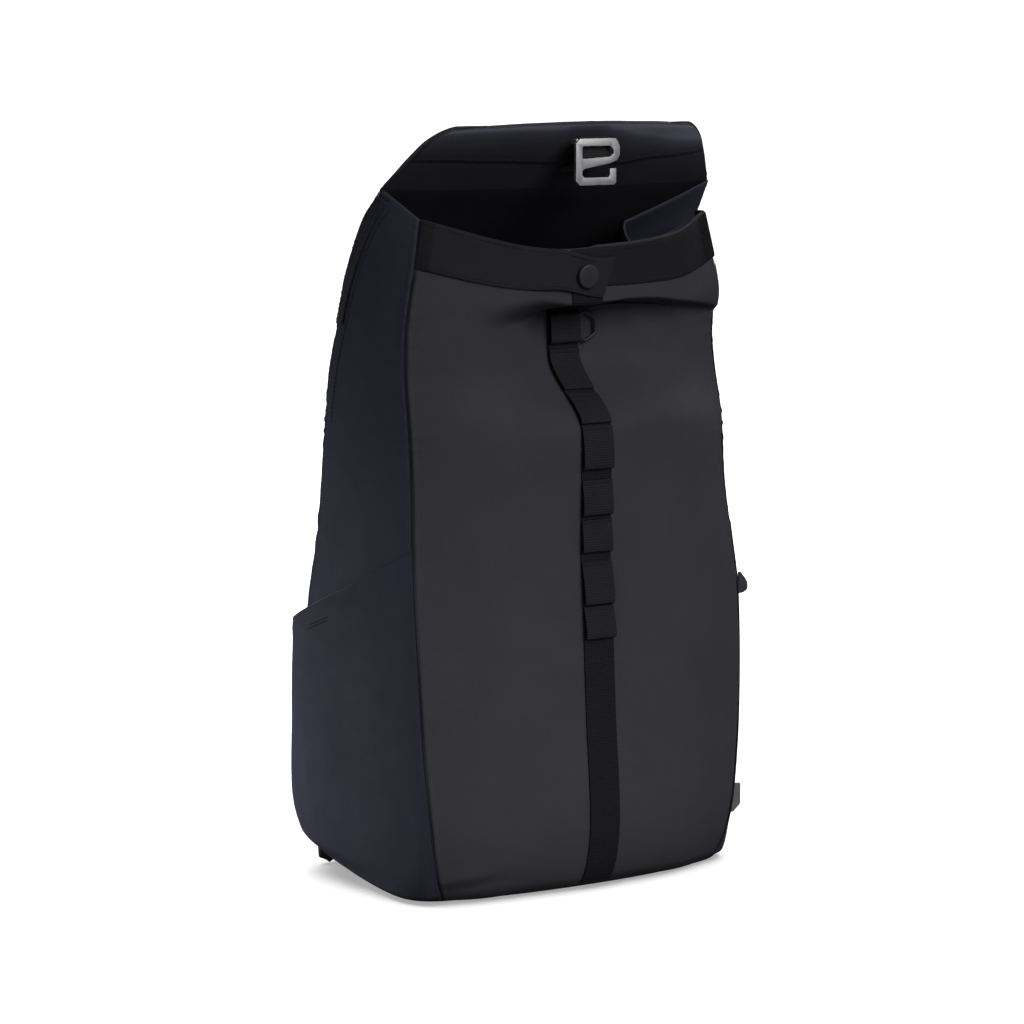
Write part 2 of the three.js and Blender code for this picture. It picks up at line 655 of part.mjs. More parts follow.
/** Hook plate with its closed window above, its open slot below, and the pin that the webbing holds. */
function addHook() {
  const { axisY, axisZ, width, height, above, plate: thick, forward } = HOOK;
  const { bar, chamfer, pin, lug, short, rise } = HOOK;
  const right = width / 2;
  const tip = right - short;
  const top = axisZ + above;
  const low = top - height;
  const middle = top - 0.5 * height;
  const outline = [
    [-right + chamfer, top],
    [-right, top - chamfer],
    [-right, low + chamfer],
    [-right + chamfer, low],
    [tip - 1.5, low],
    [tip, low + 1.5],
    [tip, low + rise],
    [tip - bar, low + rise],
    [tip - bar, low + bar + 1.5],
    [tip - bar - 1.5, low + bar],
    [-right + bar + 2, low + bar],
    [-right + bar, low + bar + 2],
    [-right + bar, middle - 6.2],
    [-right + bar + 2, middle - 4.6],
    [right - 8, middle - 1.2],
    [right - 2.4, middle + 0.8],
    [right, middle + 4.4],
    [right, top - 6],
    [right - 1.8, top - 1.8],
    [right - 6, top],
  ];
  const window = [
    [-right + bar + 1, top - bar],
    [right - bar - 3, top - bar],
    [right - bar, top - bar - 2.6],
    [right - bar, middle + 5.6],
    [right - bar - 3, middle + 3.2],
    [-right + bar + 1, middle + 2.1],
    [-right + bar, middle + 3.1],
    [-right + bar, top - bar - 1],
  ];
  const frontY = axisY - forward - thick;
  const ears = [-1, 1].map((sign) => {
    const outside = sign * (STRAP_WIDTH / 2 + 1.2 + lug);
    const inside = sign * (STRAP_WIDTH / 2 + 1.2);
    const ear = [
      [Math.min(outside, inside), axisZ - 2.1],
      [Math.max(outside, inside), axisZ - 2.1],
      [Math.max(outside, inside), axisZ + above - 0.3],
      [Math.min(outside, inside), axisZ + above - 0.3],
    ];
    return plate(ear, [], axisY - forward - 0.6, forward + 0.6 + pin + 0.7);
  });
  const ends = STRAP_WIDTH / 2 + 1.2 + lug / 2;
  const rod = new THREE.CylinderGeometry(pin, pin, 2 * ends, 12);
  rod.rotateZ(Math.PI / 2).translate(0, axisY, axisZ);
  add("flap_hook", joined([plate(outline, [window], frontY, thick), ...ears, rod]), "metal");
}

/** Webbing that holds the hook: up from the flap, over the pin, down behind the plate and back. */
function addHookLoop() {
  const { axisY, axisZ } = HOOK;
  const middle = HOOK_LOOP.inside + HOOK_LOOP.wall / 2;
  const normal = normalAt(flap, 0, HOOK_LOOP.lowW, -1, 1, 0, 1, -1);
  const lie = FLAP_CLOTH + LAY_GAP + HOOK_LOOP.wall / 2;
  const foot = flap(0, HOOK_LOOP.lowW).addScaledVector(normal, -lie);
  const down = foot.clone().sub(flap(0, 0.5).addScaledVector(normal, -lie)).normalize();
  const axis = vec(0, axisY, axisZ);
  const pull = foot.clone().sub(axis).normalize();
  const start = Math.atan2(pull.z, pull.y);
  const line = [foot.clone().addScaledVector(down, 8), foot.clone()];
  const spread = 0.35;
  const turns = steps(7, start + spread, Math.PI + 2 * spread);
  turns.forEach((angle) => {
    line.push(axis.clone().add(vec(0, Math.cos(angle), Math.sin(angle)).multiplyScalar(middle)));
  });
  HOOK_HANG.forEach(([behind, below]) => line.push(axis.clone().add(vec(0, behind, -below))));
  const half = STRAP_WIDTH / 2;
  const over = lie + HOOK_LOOP.wall + LAY_GAP;
  line.push(flap(0, HOOK_LOOP.endW).addScaledVector(normal, -over));
  add("hook_loop", ribbon(line, -half, half, HOOK_LOOP.wall), "black");
}

/** The two bands at the mouth, the left one lying over the right, and the snap on it. */
function addMouth() {
  const across = steps(FRONT_COLUMNS, -1, 1);
  const rows = ROWS.slice(BAND_ROW);
  const low = rows[0];
  const inset = 0.012;
  const share = (v) => (v - low) / (1 - low);
  const leftColumns = (v) => {
    const end = LEFT_BAND_END - BAND_TIP_SLANT * (1 - share(v));
    const inner = across.filter((s) => s > -1 && s < LEFT_BAND_END - BAND_TIP_SLANT - 0.04);
    return [-1 + inset, ...inner, end];
  };
  const rightColumns = () => {
    const inner = across.filter((s) => s > RIGHT_BAND_END + 0.03 && s < 1);
    return [RIGHT_BAND_END, ...inner, 1 - inset];
  };
  const step = WEB + LAY_GAP + 0.3;
  const over = (s) => LAY_GAP + step * ramp(s, RIGHT_BAND_END - 0.3, RIGHT_BAND_END - 0.06);
  const droop = (s) => BAND_DROOP * ramp(s, -0.45, LEFT_BAND_END);
  const hanging = (s, v) => front(s, v).add(vec(0, 0, -droop(s)));
  add("mouth_band_left", layer(hanging, leftColumns, rows, 1, over, (s) => over(s) + WEB), "black");
  add("mouth_band_right", layer(front, rightColumns, rows, 1, LAY_GAP, LAY_GAP + WEB), "black");

  const v = mix(low, 1, SNAP.share);
  const normal = normalAt(hanging, SNAP.s, v, -1, 1, 0, 1, 1);
  const seat = hanging(SNAP.s, v).addScaledVector(normal, over(SNAP.s) + WEB + LAY_GAP);
  const { radius, height, edge } = SNAP;
  const profile = [
    [0, 0],
    [radius, 0],
    [radius, height - edge],
    [radius - edge, height],
    [radius * 0.72, height],
    [radius * 0.66, height - 0.3],
    [0, height - 0.3],
  ].map(([x, y]) => new THREE.Vector2(x, y));
  const cap = new THREE.LatheGeometry(profile, 20);
  cap.applyQuaternion(new THREE.Quaternion().setFromUnitVectors(vec(0, 1, 0), normal));
  add("snap_button", cap.translate(seat.x, seat.y, seat.z), "black");
}

/** Front face between its rows and columns, as flat as the panel between them. */
function frontFacet(s, v) {
  const column = 2 / FRONT_COLUMNS;
  const share = Math.abs(s) / column;
  return front(0, v).lerp(front(Math.sign(s) * column, v), share);
}

const MIDDLE = ROWS.map((v) => front(0, v));

/** Point and outward normal of the strap's outer face at a height on the middle of the front. */
function strapAt(z) {
  let j = 0;
  while (j < MIDDLE.length - 2 && MIDDLE[j + 1].z < z) j += 1;
  const run = MIDDLE[j + 1].clone().sub(MIDDLE[j]);
  const point = MIDDLE[j].clone().addScaledVector(run, (z - MIDDLE[j].z) / run.z);
  const normal = vec(0, -run.z, run.y).normalize();
  return { point: point.addScaledVector(normal, LAY_GAP + WEB), normal };
}

/** A loop of webbing that stands off the strap between two heights. */
function strapLoop(topZ, lowZ, stand, shape) {
  const head = strapAt(topZ);
  const tail = strapAt(lowZ);
  const off = head.normal.clone().add(tail.normal).normalize();
  const clear = LAY_GAP + WEB / 2;
  const chord = (run) => head.point.clone().lerp(tail.point, run);
  const rise = (run) => strapAt(mix(topZ, lowZ, run)).point.sub(chord(run)).dot(off);
  const most = Math.max(0, ...steps(20).map(rise));
  return ribbon(
    shape.map(([run, share]) => {
      const follow = most * Math.min(1, 8 * run * (1 - run));
      return chord(run).addScaledVector(off, clear + follow + share * stand);
    }),
    -STRAP_WIDTH / 2,
    STRAP_WIDTH / 2,
    WEB,
  );
}

/** Strap down the middle of the front, its loops, and the ring in its top tab. */
function addFrontStrap() {
  const half = STRAP_WIDTH / 2;
  const rows = ROWS.slice(1, BAND_ROW);
  const columns = (v) => [-1, 0, 1].map((k) => (k * half) / BODY.frontHalf(frontHeight(0, v)));
  add("front_strap", layer(frontFacet, columns, rows, 1, LAY_GAP, LAY_GAP + WEB), "black");
  LOOPS.forEach(({ top, low, stand }, k) => {
    add(`strap_loop_${k + 1}`, strapLoop(top, low, stand, LOOP_RUN), "black");
  });
  add("strap_top_tab", strapLoop(RING_TAB.top, RING_TAB.low, RING_TAB.stand, TAB_RUN), "black");
  addRing();
}

/** Six-sided ring that lies on the strap, held under the top tab. */
function addRing() {
  const seat = strapAt(RING.z);
  const high = strapAt(RING_TAB.top).point.sub(strapAt(RING_TAB.low).point).normalize();
  const normal = vec(0, -high.z, high.y);
  const chord = strapAt(RING_TAB.top).point.lerp(strapAt(RING_TAB.low).point, 0.5);
  const off = (z) => strapAt(z).point.sub(chord).dot(normal);
  const most = Math.max(...steps(20, RING_TAB.low, RING_TAB.top).map(off));
  const depth = off(RING.z);
  const lift = most - depth + LAY_GAP + RING.wire;
  const centre = seat.point.clone().addScaledVector(normal, lift).setX(RING.x);
  const sides = 6;
  const stretch = 1 / Math.cos(Math.PI / sides);
  const turns = steps(sides).slice(0, sides).map((t) => t * 2 * Math.PI);
  const points = turns.flatMap((angle) => {
    const radial = vec(Math.sin(angle), 0, 0).addScaledVector(high, Math.cos(angle));
    return turns.map((turn) => {
      const round = turn + Math.PI / sides;
      const out = RING.across / 2 - RING.wire + RING.wire * Math.cos(round) * stretch;
      const up = RING.wire * Math.sin(round);
      return centre.clone().addScaledVector(radial, out).addScaledVector(normal, up);
    });
  });
  const faces = [];
  turns.forEach((_, a) => {
    turns.forEach((__, q) => {
      const b = ((a + 1) % sides) * sides;
      const r = (q + 1) % sides;
      faces.push(a * sides + q, b + q, b + r, a * sides + q, b + r, a * sides + r);
    });
  });
  add("hex_ring", bodyOf(points, faces), "black");
}

/** Row share at which a seam passes a height. */
function shareAt(height, heightAt) {
  let low = 0;
  let high = 1;
  for (let k = 0; k < 40; k += 1) {
    const middle = (low + high) / 2;
    if (heightAt(middle) < height) low = middle;
    else high = middle;
  }
  return low;
}

/** Face of the pocket on one side at u across and q up, off the panel by near at its edges. */
function pocketFace(u, q, sign, near) {
  const frontShare = shareAt(POCKET.frontZ, (v) => frontHeight(sign, v));
  const backShare = shareAt(POCKET.backZ, (v) => backSeam(v, sign).z);
  const face = (a, b) => side(a, mix(POCKET.foot, mix(frontShare, backShare, a), b), sign);
  const normal = normalAt(face, u, q, 0, 1, 0, 1, sign);
  const most = sign < 0 ? POCKET.leftBulge : POCKET.rightBulge;
  const rise = POCKET.sag * ramp(q, 0, 0.08) + (1 - POCKET.sag) * ramp(q, 0.15, 0.95);
  const inside = THREE.MathUtils.clamp((u - POCKET.edge) / (1 - 2 * POCKET.edge), 0, 1);
  const bulge = most * POCKET_FORM.bulge(inside) * rise;
  return face(u, q).addScaledVector(normal, near).add(vec(sign * bulge, 0, 0));
}

/** Side pockets, the tape at the left edge and the two small tabs at the right. */
function addSides() {
  [-1, 1].forEach((sign) => {
    const label = sign < 0 ? "left" : "right";
    const columns = SIDE_COLUMNS.map((u) => THREE.MathUtils.clamp(u, POCKET.edge, 1 - POCKET.edge));
    const sheet = (off) => POCKET_ROWS.map((q) => columns.map((u) => pocketFace(u, q, sign, off)));
    add(`side_pocket_${label}`, between(sheet(POCKET.gap + CLOTH), sheet(POCKET.gap)), "navy");
  });
  const tapeRows = ROWS.filter((v) => v > TAPE.from && v < TAPE.to);
  const tapeColumns = (v) => {
    const span = backSeam(v, -1).distanceTo(front(-1, v));
    return [1 - (TAPE.inset + TAPE.width) / span, 1 - TAPE.inset / span];
  };
  const face = (u, v) => side(u, v, -1);
  const tape = layer(face, tapeColumns, tapeRows, -1, LAY_GAP, LAY_GAP + TAPE.thick, [0, 1]);
  add("side_tape_left", tape, "black");
  addTab("seam_tab_right", SEAM_TAB, "black");
  addTab("hem_tab_right", HEM_TAB, "grey");
}

/** A small flat tab that stands out from the right pocket near the front seam. */
function addTab(name, { y, z, tall, out, thick }, finish) {
  const spots = steps(80, 0.02, 0.4).flatMap((u) =>
    steps(120, 0.02, 1).map((q) => pocketFace(u, q, 1, POCKET.gap + CLOTH)),
  );
  const level = spots.filter((p) => Math.abs(p.z - z) < tall / 2);
  const beside = level.filter((p) => p.y > y - 0.5 && p.y < y + thick + 0.5);
  const start = Math.max(...beside.map((p) => p.x)) + LAY_GAP;
  const round = Math.min(out, tall / 2) * 0.9;
  const outline = [[start, z - tall / 2]];
  steps(6).forEach((t) => {
    const angle = mix(-Math.PI / 2, Math.PI / 2, t);
    const reach = start + out - round + round * Math.cos(angle);
    outline.push([reach, z + (tall / 2) * Math.sin(angle)]);
  });
  outline.push([start, z + tall / 2]);
  add(name, plate(outline, [], y, thick), finish);
}

const BACK_HEIGHTS = ROWS.map((v) => backSeam(v, 1).z);

/** Y of the back panel's outer face at x and height z, as flat as the panel between its rows. */
function backFace(x, z) {
  let j = 0;
  while (j < ROWS.length - 2 && BACK_HEIGHTS[j + 1] < z) j += 1;
  const row = (v) => {
    const s = THREE.MathUtils.clamp(x / backSeam(v, 1).x, -1, 1);
    const column = Math.min(Math.floor(((s + 1) * FRONT_COLUMNS) / 2), FRONT_COLUMNS - 1);
    const low = (2 * column) / FRONT_COLUMNS - 1;
    const share = ((s - low) * FRONT_COLUMNS) / 2;
    return mix(back(low, v).y, back(low + 2 / FRONT_COLUMNS, v).y, share);
  };
  const share = (z - BACK_HEIGHTS[j]) / (BACK_HEIGHTS[j + 1] - BACK_HEIGHTS[j]);
  return mix(row(ROWS[j]), row(ROWS[j + 1]), Math.max(share, 0));
}

/** Thickness of the back pad at x and height z. */
function padThickness(x, z) {
  const a = Math.min(Math.abs(x) / PAD.half, 1);
  const b = Math.max((2 * z) / PAD.topZ - 1, 0);
  return mix(PAD.edge, PAD.thick, (1 - a ** 6) * Math.max(1 - b ** 8, 0));
}

/** Y of the outermost cloth behind the bag at x and height z. */
function padFace(x, z) {
  const pad = z > PAD.topZ ? 0 : LAY_GAP + padThickness(x, z);
  return backFace(x, z) + pad;
}

/** Pad behind the back. */
function addPad() {
  const across = steps(FRONT_COLUMNS, -1, 1).slice(1, -1);
  const inner = BACK_HEIGHTS.filter((z) => z < PAD.topZ - 8);
  const heights = [PAD.footZ, BACK_SEAM.foot / 2, ...inner, PAD.topZ];
  const sheet = (off) =>
    heights.map((z) =>
      across.map((s) => {
        const x = s * BODY.backHalf(Math.max(z, PAD.footAs));
        return vec(x, backFace(x, z) + LAY_GAP + off(x, z), z);
      }),
    );
  add("back_pad", between(sheet(padThickness), sheet(() => 0)), "black");
}

/** Y of the middle of a shoulder strap's thickness at a height. */
function shoulderY(z) {
  const x = SHOULDER.x(z);
  const rest = Math.max(padFace(x - 20, z), padFace(x, z), padFace(x + 20, z));
  return rest + 0.4 + SHOULDER.clear(z) + SHOULDER.thick(z) / 2;
}

/** Padded strap from the top of the back down to its buckle. */
function shoulderStrap(sign) {
  const ring = SHOULDER_RING;
  const flatten = (c) => Math.sign(c) * Math.abs(c) ** 0.6;
  const sections = steps(SHOULDER_ROWS, SHOULDER_FOOT, SHOULDER_HEAD).map((z) =>
    steps(ring)
      .slice(0, ring)
      .map((t) => {
        const angle = t * 2 * Math.PI;
        const across = (SHOULDER.width(z) / 2) * flatten(Math.cos(angle));
        const off = (SHOULDER.thick(z) / 2) * flatten(Math.sin(angle));
        return vec(sign * (SHOULDER.x(z) + across), shoulderY(z) + off, z);
      }),
  );
  const faces = [];
  const quad = (a, b, c, d) => faces.push(a, b, c, a, c, d);
  for (let j = 0; j < SHOULDER_ROWS; j += 1)
    for (let k = 0; k < ring; k += 1) {
      const n = (k + 1) % ring;
      quad(j * ring + k, j * ring + n, (j + 1) * ring + n, (j + 1) * ring + k);
    }
  const head = SHOULDER_ROWS * ring;
  for (let k = 1; k < ring - 1; k += 1) faces.push(0, k + 1, k, head, head + k, head + k + 1);
  return bodyOf(sections.flat(), faces);
}

/** Buckle plate with two slots at the foot of a shoulder strap. */
function ladderLock(sign) {
  const [w, h] = [LOCK.width / 2, LOCK.tall / 2];
  const foot = LOCK.z - h;
  const head = LOCK.z + h - 4;
  const slots = [LOCK.bar, LOCK.tall - LOCK.bar - LOCK.slot].map((low) => [
    [-w + 4, foot + low],
    [w - 4, foot + low],
    [w - 4, foot + low + LOCK.slot],
    [-w + 4, foot + low + LOCK.slot],
  ]);
  const rim = [
    [-w + 2, foot],
    [w - 2, foot],
    [w, foot + 2],
    [w, head],
    [-w, head],
    [-w, foot + 2],
  ];
  const lock = plate(rim, slots, shoulderY(SHOULDER_FOOT) - LOCK.thick / 2, LOCK.thick);
  return lock.translate(sign * SHOULDER.x(SHOULDER_FOOT), 0, 0);
}

/** Webbing from the buckle down to the foot of the pad. */
function lowerWebbing(sign) {
  const { lowX, lowZ, flatZ } = LOWER_WEB;
  const half = STRAP_WIDTH / 2;
  const reach = steps(4, lowX - half, lowX + half);
  const rest = (z) => Math.max(...reach.map((x) => padFace(x, z))) + LAY_GAP + WEB / 2;
  const start = shoulderY(SHOULDER_FOOT);
  const line = [
    vec(0, start, LOCK.z - LOCK.tall / 2 - 0.6),
    vec(0, mix(start, rest(80), 0.35), 96),
    vec(0, mix(start, rest(70), 0.75), 68),
    vec(0, rest(flatZ) + 0.4, flatZ),
    vec(0, rest(lowZ) + 0.4, lowZ),
  ];
  return ribbon(line, -half, half, WEB).translate(sign * lowX, 0, 0);
}

/** Shoulder straps with their buckles and lower webbing. */
function addShoulders() {
  [-1, 1].forEach((sign) => {
    const label = sign < 0 ? "left" : "right";
    add(`shoulder_strap_${label}`, shoulderStrap(sign), "black");
    add(`ladder_lock_${label}`, ladderLock(sign), "black");
    add(`strap_webbing_${label}`, lowerWebbing(sign), "black");
  });
}

/** Haul handle at the top of the back. */
function addHandle() {
  const { half, foot, rise, width, thick, z } = HANDLE;
  const slope = vec(0, backFace(0, z + 6) - backFace(0, z - 6), 12).normalize();
  const off = vec(0, slope.z, -slope.y);
  const inner = half - foot;
  const xs = [-half, -inner, ...steps(8, -inner + 3, inner - 3), inner, half];
  const line = xs.map((x) => {
    const share = Math.min(Math.abs(x) / inner, 1);
    const lift = rise * Math.sqrt(1 - share * share);
    return vec(x, backFace(x, z) + 2 * LAY_GAP, z).addScaledVector(off, lift);
  });
  const face = (share) =>
    line.map((p, k) => {
      const next = line[Math.min(k + 1, line.length - 1)];
      const last = line[Math.max(k - 1, 0)];
      const normal = slope.clone().cross(next.clone().sub(last)).normalize();
      if (normal.dot(off) < 0) normal.negate();
      const q = p.clone().addScaledVector(normal, share * thick);
      const edge = slope.clone().multiplyScalar(width / 2);
      return [q.clone().sub(edge), q.clone().add(edge)];
    });
  add("haul_handle", between(face(1), face(0)), "black");
}

addBody();
addFlapTrim();
addHook();
addHookLoop();
addMouth();
addFrontStrap();
addSides();
addPad();
addShoulders();
addHandle();

export default root;
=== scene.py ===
"""Looks of a standing flap backpack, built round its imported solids.

Sizes and tables are in millimetres in the frame of the part: +Z up, the front faces -Y.
"""

import logging
import math
from dataclasses import dataclass
from enum import Enum
from typing import Any, Callable, Sequence

import bmesh
import bpy
import numpy as np
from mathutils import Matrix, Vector
from mathutils.bvhtree import BVHTree


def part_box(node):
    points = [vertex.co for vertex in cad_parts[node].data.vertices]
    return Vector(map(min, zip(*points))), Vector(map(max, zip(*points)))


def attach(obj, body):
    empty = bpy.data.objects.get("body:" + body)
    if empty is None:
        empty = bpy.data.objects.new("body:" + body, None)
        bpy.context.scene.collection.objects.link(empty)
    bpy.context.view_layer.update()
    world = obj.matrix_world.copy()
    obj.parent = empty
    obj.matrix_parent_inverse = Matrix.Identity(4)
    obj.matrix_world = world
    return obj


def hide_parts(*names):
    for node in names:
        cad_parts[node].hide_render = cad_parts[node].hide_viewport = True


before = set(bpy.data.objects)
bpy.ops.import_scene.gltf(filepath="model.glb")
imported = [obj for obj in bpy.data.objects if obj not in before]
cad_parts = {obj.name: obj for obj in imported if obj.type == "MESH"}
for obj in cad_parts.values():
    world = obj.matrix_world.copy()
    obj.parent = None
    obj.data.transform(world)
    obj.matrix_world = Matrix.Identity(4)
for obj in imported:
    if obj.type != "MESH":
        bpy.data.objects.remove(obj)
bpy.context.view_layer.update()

Array = np.ndarray
Pair = tuple[float, float]
Triple = tuple[float, float, float]
Material = bpy.types.Material
Mesh = bpy.types.Mesh
Piece = bpy.types.Object
Socket = bpy.types.NodeSocket
LOG = logging.getLogger("flap_backpack")
MM = 0.001

CLOTH = 1.6
FLAP_CLOTH = 2.4
WEB = 1.1
STRAP_WIDTH = 25.0
LAY_GAP = 0.5
LEAST_AREA = 0.3
EDGE_ROUND = 0.4
TUBE_WELD = 1e-6
TUBE_TIP = 0.25
SOLID_WELD = 1e-5
SOLID_LEVEL = 1.5
CLOTH_CREASE = math.radians(35)
SOLID_CREASE = math.radians(40)
BEVEL_FROM = math.radians(28)


class Body(Enum):
    """Moving bodies of the part."""

    BAG = "bag"
    HOOK = "hook"


class Side(Enum):
    """The two sides of the bag, seen from the front, with the sign of X there."""

    LEFT = -1
    RIGHT = 1

    @property
    def label(self) -> str:
        """Name of the side in lower case."""
        return self.name.lower()


class Slot(Enum):
    """Material slots of the record."""

    CHARCOAL = "charcoal_cloth"
    NAVY = "navy_cloth"
    BLACK = "black_cloth"
    WEBBING = "black_webbing"
    PLASTIC = "black_plastic"
    GREY = "grey_cloth"
    METAL = "hook_metal"


class Profile:
    """Named columns of a table, each read at any first value through a smooth curve."""

    def __init__(self, names: Sequence[str], rows: Sequence[Sequence[float]]) -> None:
        """Keeps the table.

        Args:
            names: Name of each column; the first is the one that the others are read by.
            rows: One row of numbers per place.
        """
        data = np.array(rows, float)
        self.at = data[:, 0]
        self.columns = {name: data[:, k] for k, name in enumerate(names) if k}

    def read(self, name: str, x: Array | float) -> Array:
        """Value of a column.

        Args:
            name: The column.
            x: Where to read it; held inside the table.

        Returns:
            The values at x.
        """
        at, value = self.at, self.columns[name]
        slope = np.empty_like(value)
        slope[1:-1] = (value[2:] - value[:-2]) / (at[2:] - at[:-2])
        slope[0] = (value[1] - value[0]) / (at[1] - at[0])
        slope[-1] = (value[-1] - value[-2]) / (at[-1] - at[-2])
        inside = np.clip(x, at[0], at[-1])
        i = np.clip(np.searchsorted(at, inside) - 1, 0, len(at) - 2)
        span = at[i + 1] - at[i]
        t = (inside - at[i]) / span
        bend = t * t * (3 - 2 * t)
        lead = t * (1 - t) ** 2 * span * slope[i]
        trail = t * t * (t - 1) * span * slope[i + 1]
        return value[i] * (1 - bend) + value[i + 1] * bend + lead + trail


def mix(a: Any, b: Any, t: Any) -> Any:
    """Value at share t between a and b."""
    return a + (b - a) * t


def ramp(x: Any, low: float, high: float) -> Array:
    """Smooth step from 0 at low to 1 at high."""
    t = np.clip((np.asarray(x, float) - low) / (high - low), 0, 1)
    return t * t * (3 - 2 * t)


def bell(x: Any, middle: float, width: float) -> Array:
    """Smooth bump of height 1 round a middle."""
    return np.exp(-(((np.asarray(x, float) - middle) / width) ** 2))


def points_of(x: Any, y: Any, z: Any) -> Array:
    """Points from coordinates that may be numbers or arrays."""
    return np.stack(np.broadcast_arrays(x, y, z), axis=-1).astype(float)


def unit(v: Array) -> Array:
    """Vectors of length 1 along v."""
    return v / np.maximum(np.linalg.norm(v, axis=-1, keepdims=True), 1e-9)


def spread(count: int, ends: float = 0.45) -> Array:
    """Values from -1 to 1 that stand closer together at both ends, by a share of crowding."""
    t = np.linspace(-1, 1, count)
    return (1 - ends) * t + ends * t * (1.5 - 0.5 * t * t)


def smooth_line(knots: Sequence[Sequence[float]], count: int) -> Array:
    """Smooth line through knots.

    Args:
        knots: Points of any number of coordinates.
        count: Points of the line between two knots.

    Returns:
        Points along the line.
    """
    p = np.array(knots, float)
    p = np.vstack([2 * p[0] - p[1], p, 2 * p[-1] - p[-2]])
    t = np.linspace(0, 1, count, endpoint=False)[:, None]
    parts = []
    for a, b, c, d in zip(p[:-3], p[1:-2], p[2:-1], p[3:]):
        parts.append(0.5 * (2 * b + (c - a) * t + (2 * a - 5 * b + 4 * c - d) * t**2
                            + (3 * b - a - 3 * c + d) * t**3))
    return np.vstack(parts + [p[-2:-1]])


@dataclass(frozen=True)
class RippleLook:
    """Soft waves over a piece of cloth: how many, how long, how they lean in degrees, and how high."""

    count: int
    waves: Pair
    lean: Pair
    height: float

    def laid(self, across: Array, up: Array, seed: int) -> Array:
        """Height of the waves.

        Args:
            across: Distance across the cloth.
            up: Distance up the cloth.
            seed: Seed of the waves.

        Returns:
            Height at each point.
        """
        rng = np.random.default_rng(seed)
        total = np.zeros(np.broadcast(across, up).shape)
        for _ in range(self.count):
            wave = rng.uniform(*self.waves)
            angle = math.radians(rng.uniform(*self.lean))
            phase = rng.uniform(0, 2 * math.pi)
            run = across * math.cos(angle) + up * math.sin(angle)
            total += np.sin(2 * math.pi * run / wave + phase)
        return self.height * total / math.sqrt(self.count)


@dataclass(frozen=True)
class SeamLook:
    """How cloth runs into a sewn seam."""

    depth: float = 1.7
    width: float = 0.85
    lip: float = 0.38
    lip_at: float = 2.7
    lip_width: float = 1.5
    pucker: float = 0.5
    wave: float = 13.0
    reach: float = 6.5

    def height(self, distance: Array, along: Array, seed: int) -> Array:
        """Height of the cloth near the seam.

        Args:
            distance: Distance from the seam.
            along: Distance along the seam.
            seed: Seed of the puckers.

        Returns:
            Height over the smooth cloth, below 0 in the seam itself.
        """
        phase = np.random.default_rng(seed).uniform(0, 2 * math.pi, 4)
        # Sines whose lengths don't fit one another keep the puckers from repeating.
        turn = 2 * math.pi * along / self.wave
        drift = 1.7 * np.sin(turn / 3.7 + phase[0]) + 0.9 * np.sin(turn / 1.9 + phase[2])
        waves = 0.75 * np.sin(turn + drift + phase[1]) + 0.45 * np.sin(2.3 * turn + drift + phase[3])
        strength = 0.55 + 0.45 * np.sin(turn / 6.3 + phase[1])
        roll = -self.depth * bell(distance, 0, self.width)
        lip = self.lip * (1 + 0.5 * strength * waves) * bell(distance, self.lip_at, self.lip_width)
        return roll + lip + self.pucker * strength * waves * np.exp(-distance / self.reach)

    def both(self, across: Array, up: Array, first: int, last: int) -> Array:
        """Height between seams at the first and the last column, from the seeds of their puckers."""
        return self.height(across, up, first) + self.height(across[:, -1:] - across, up, last)


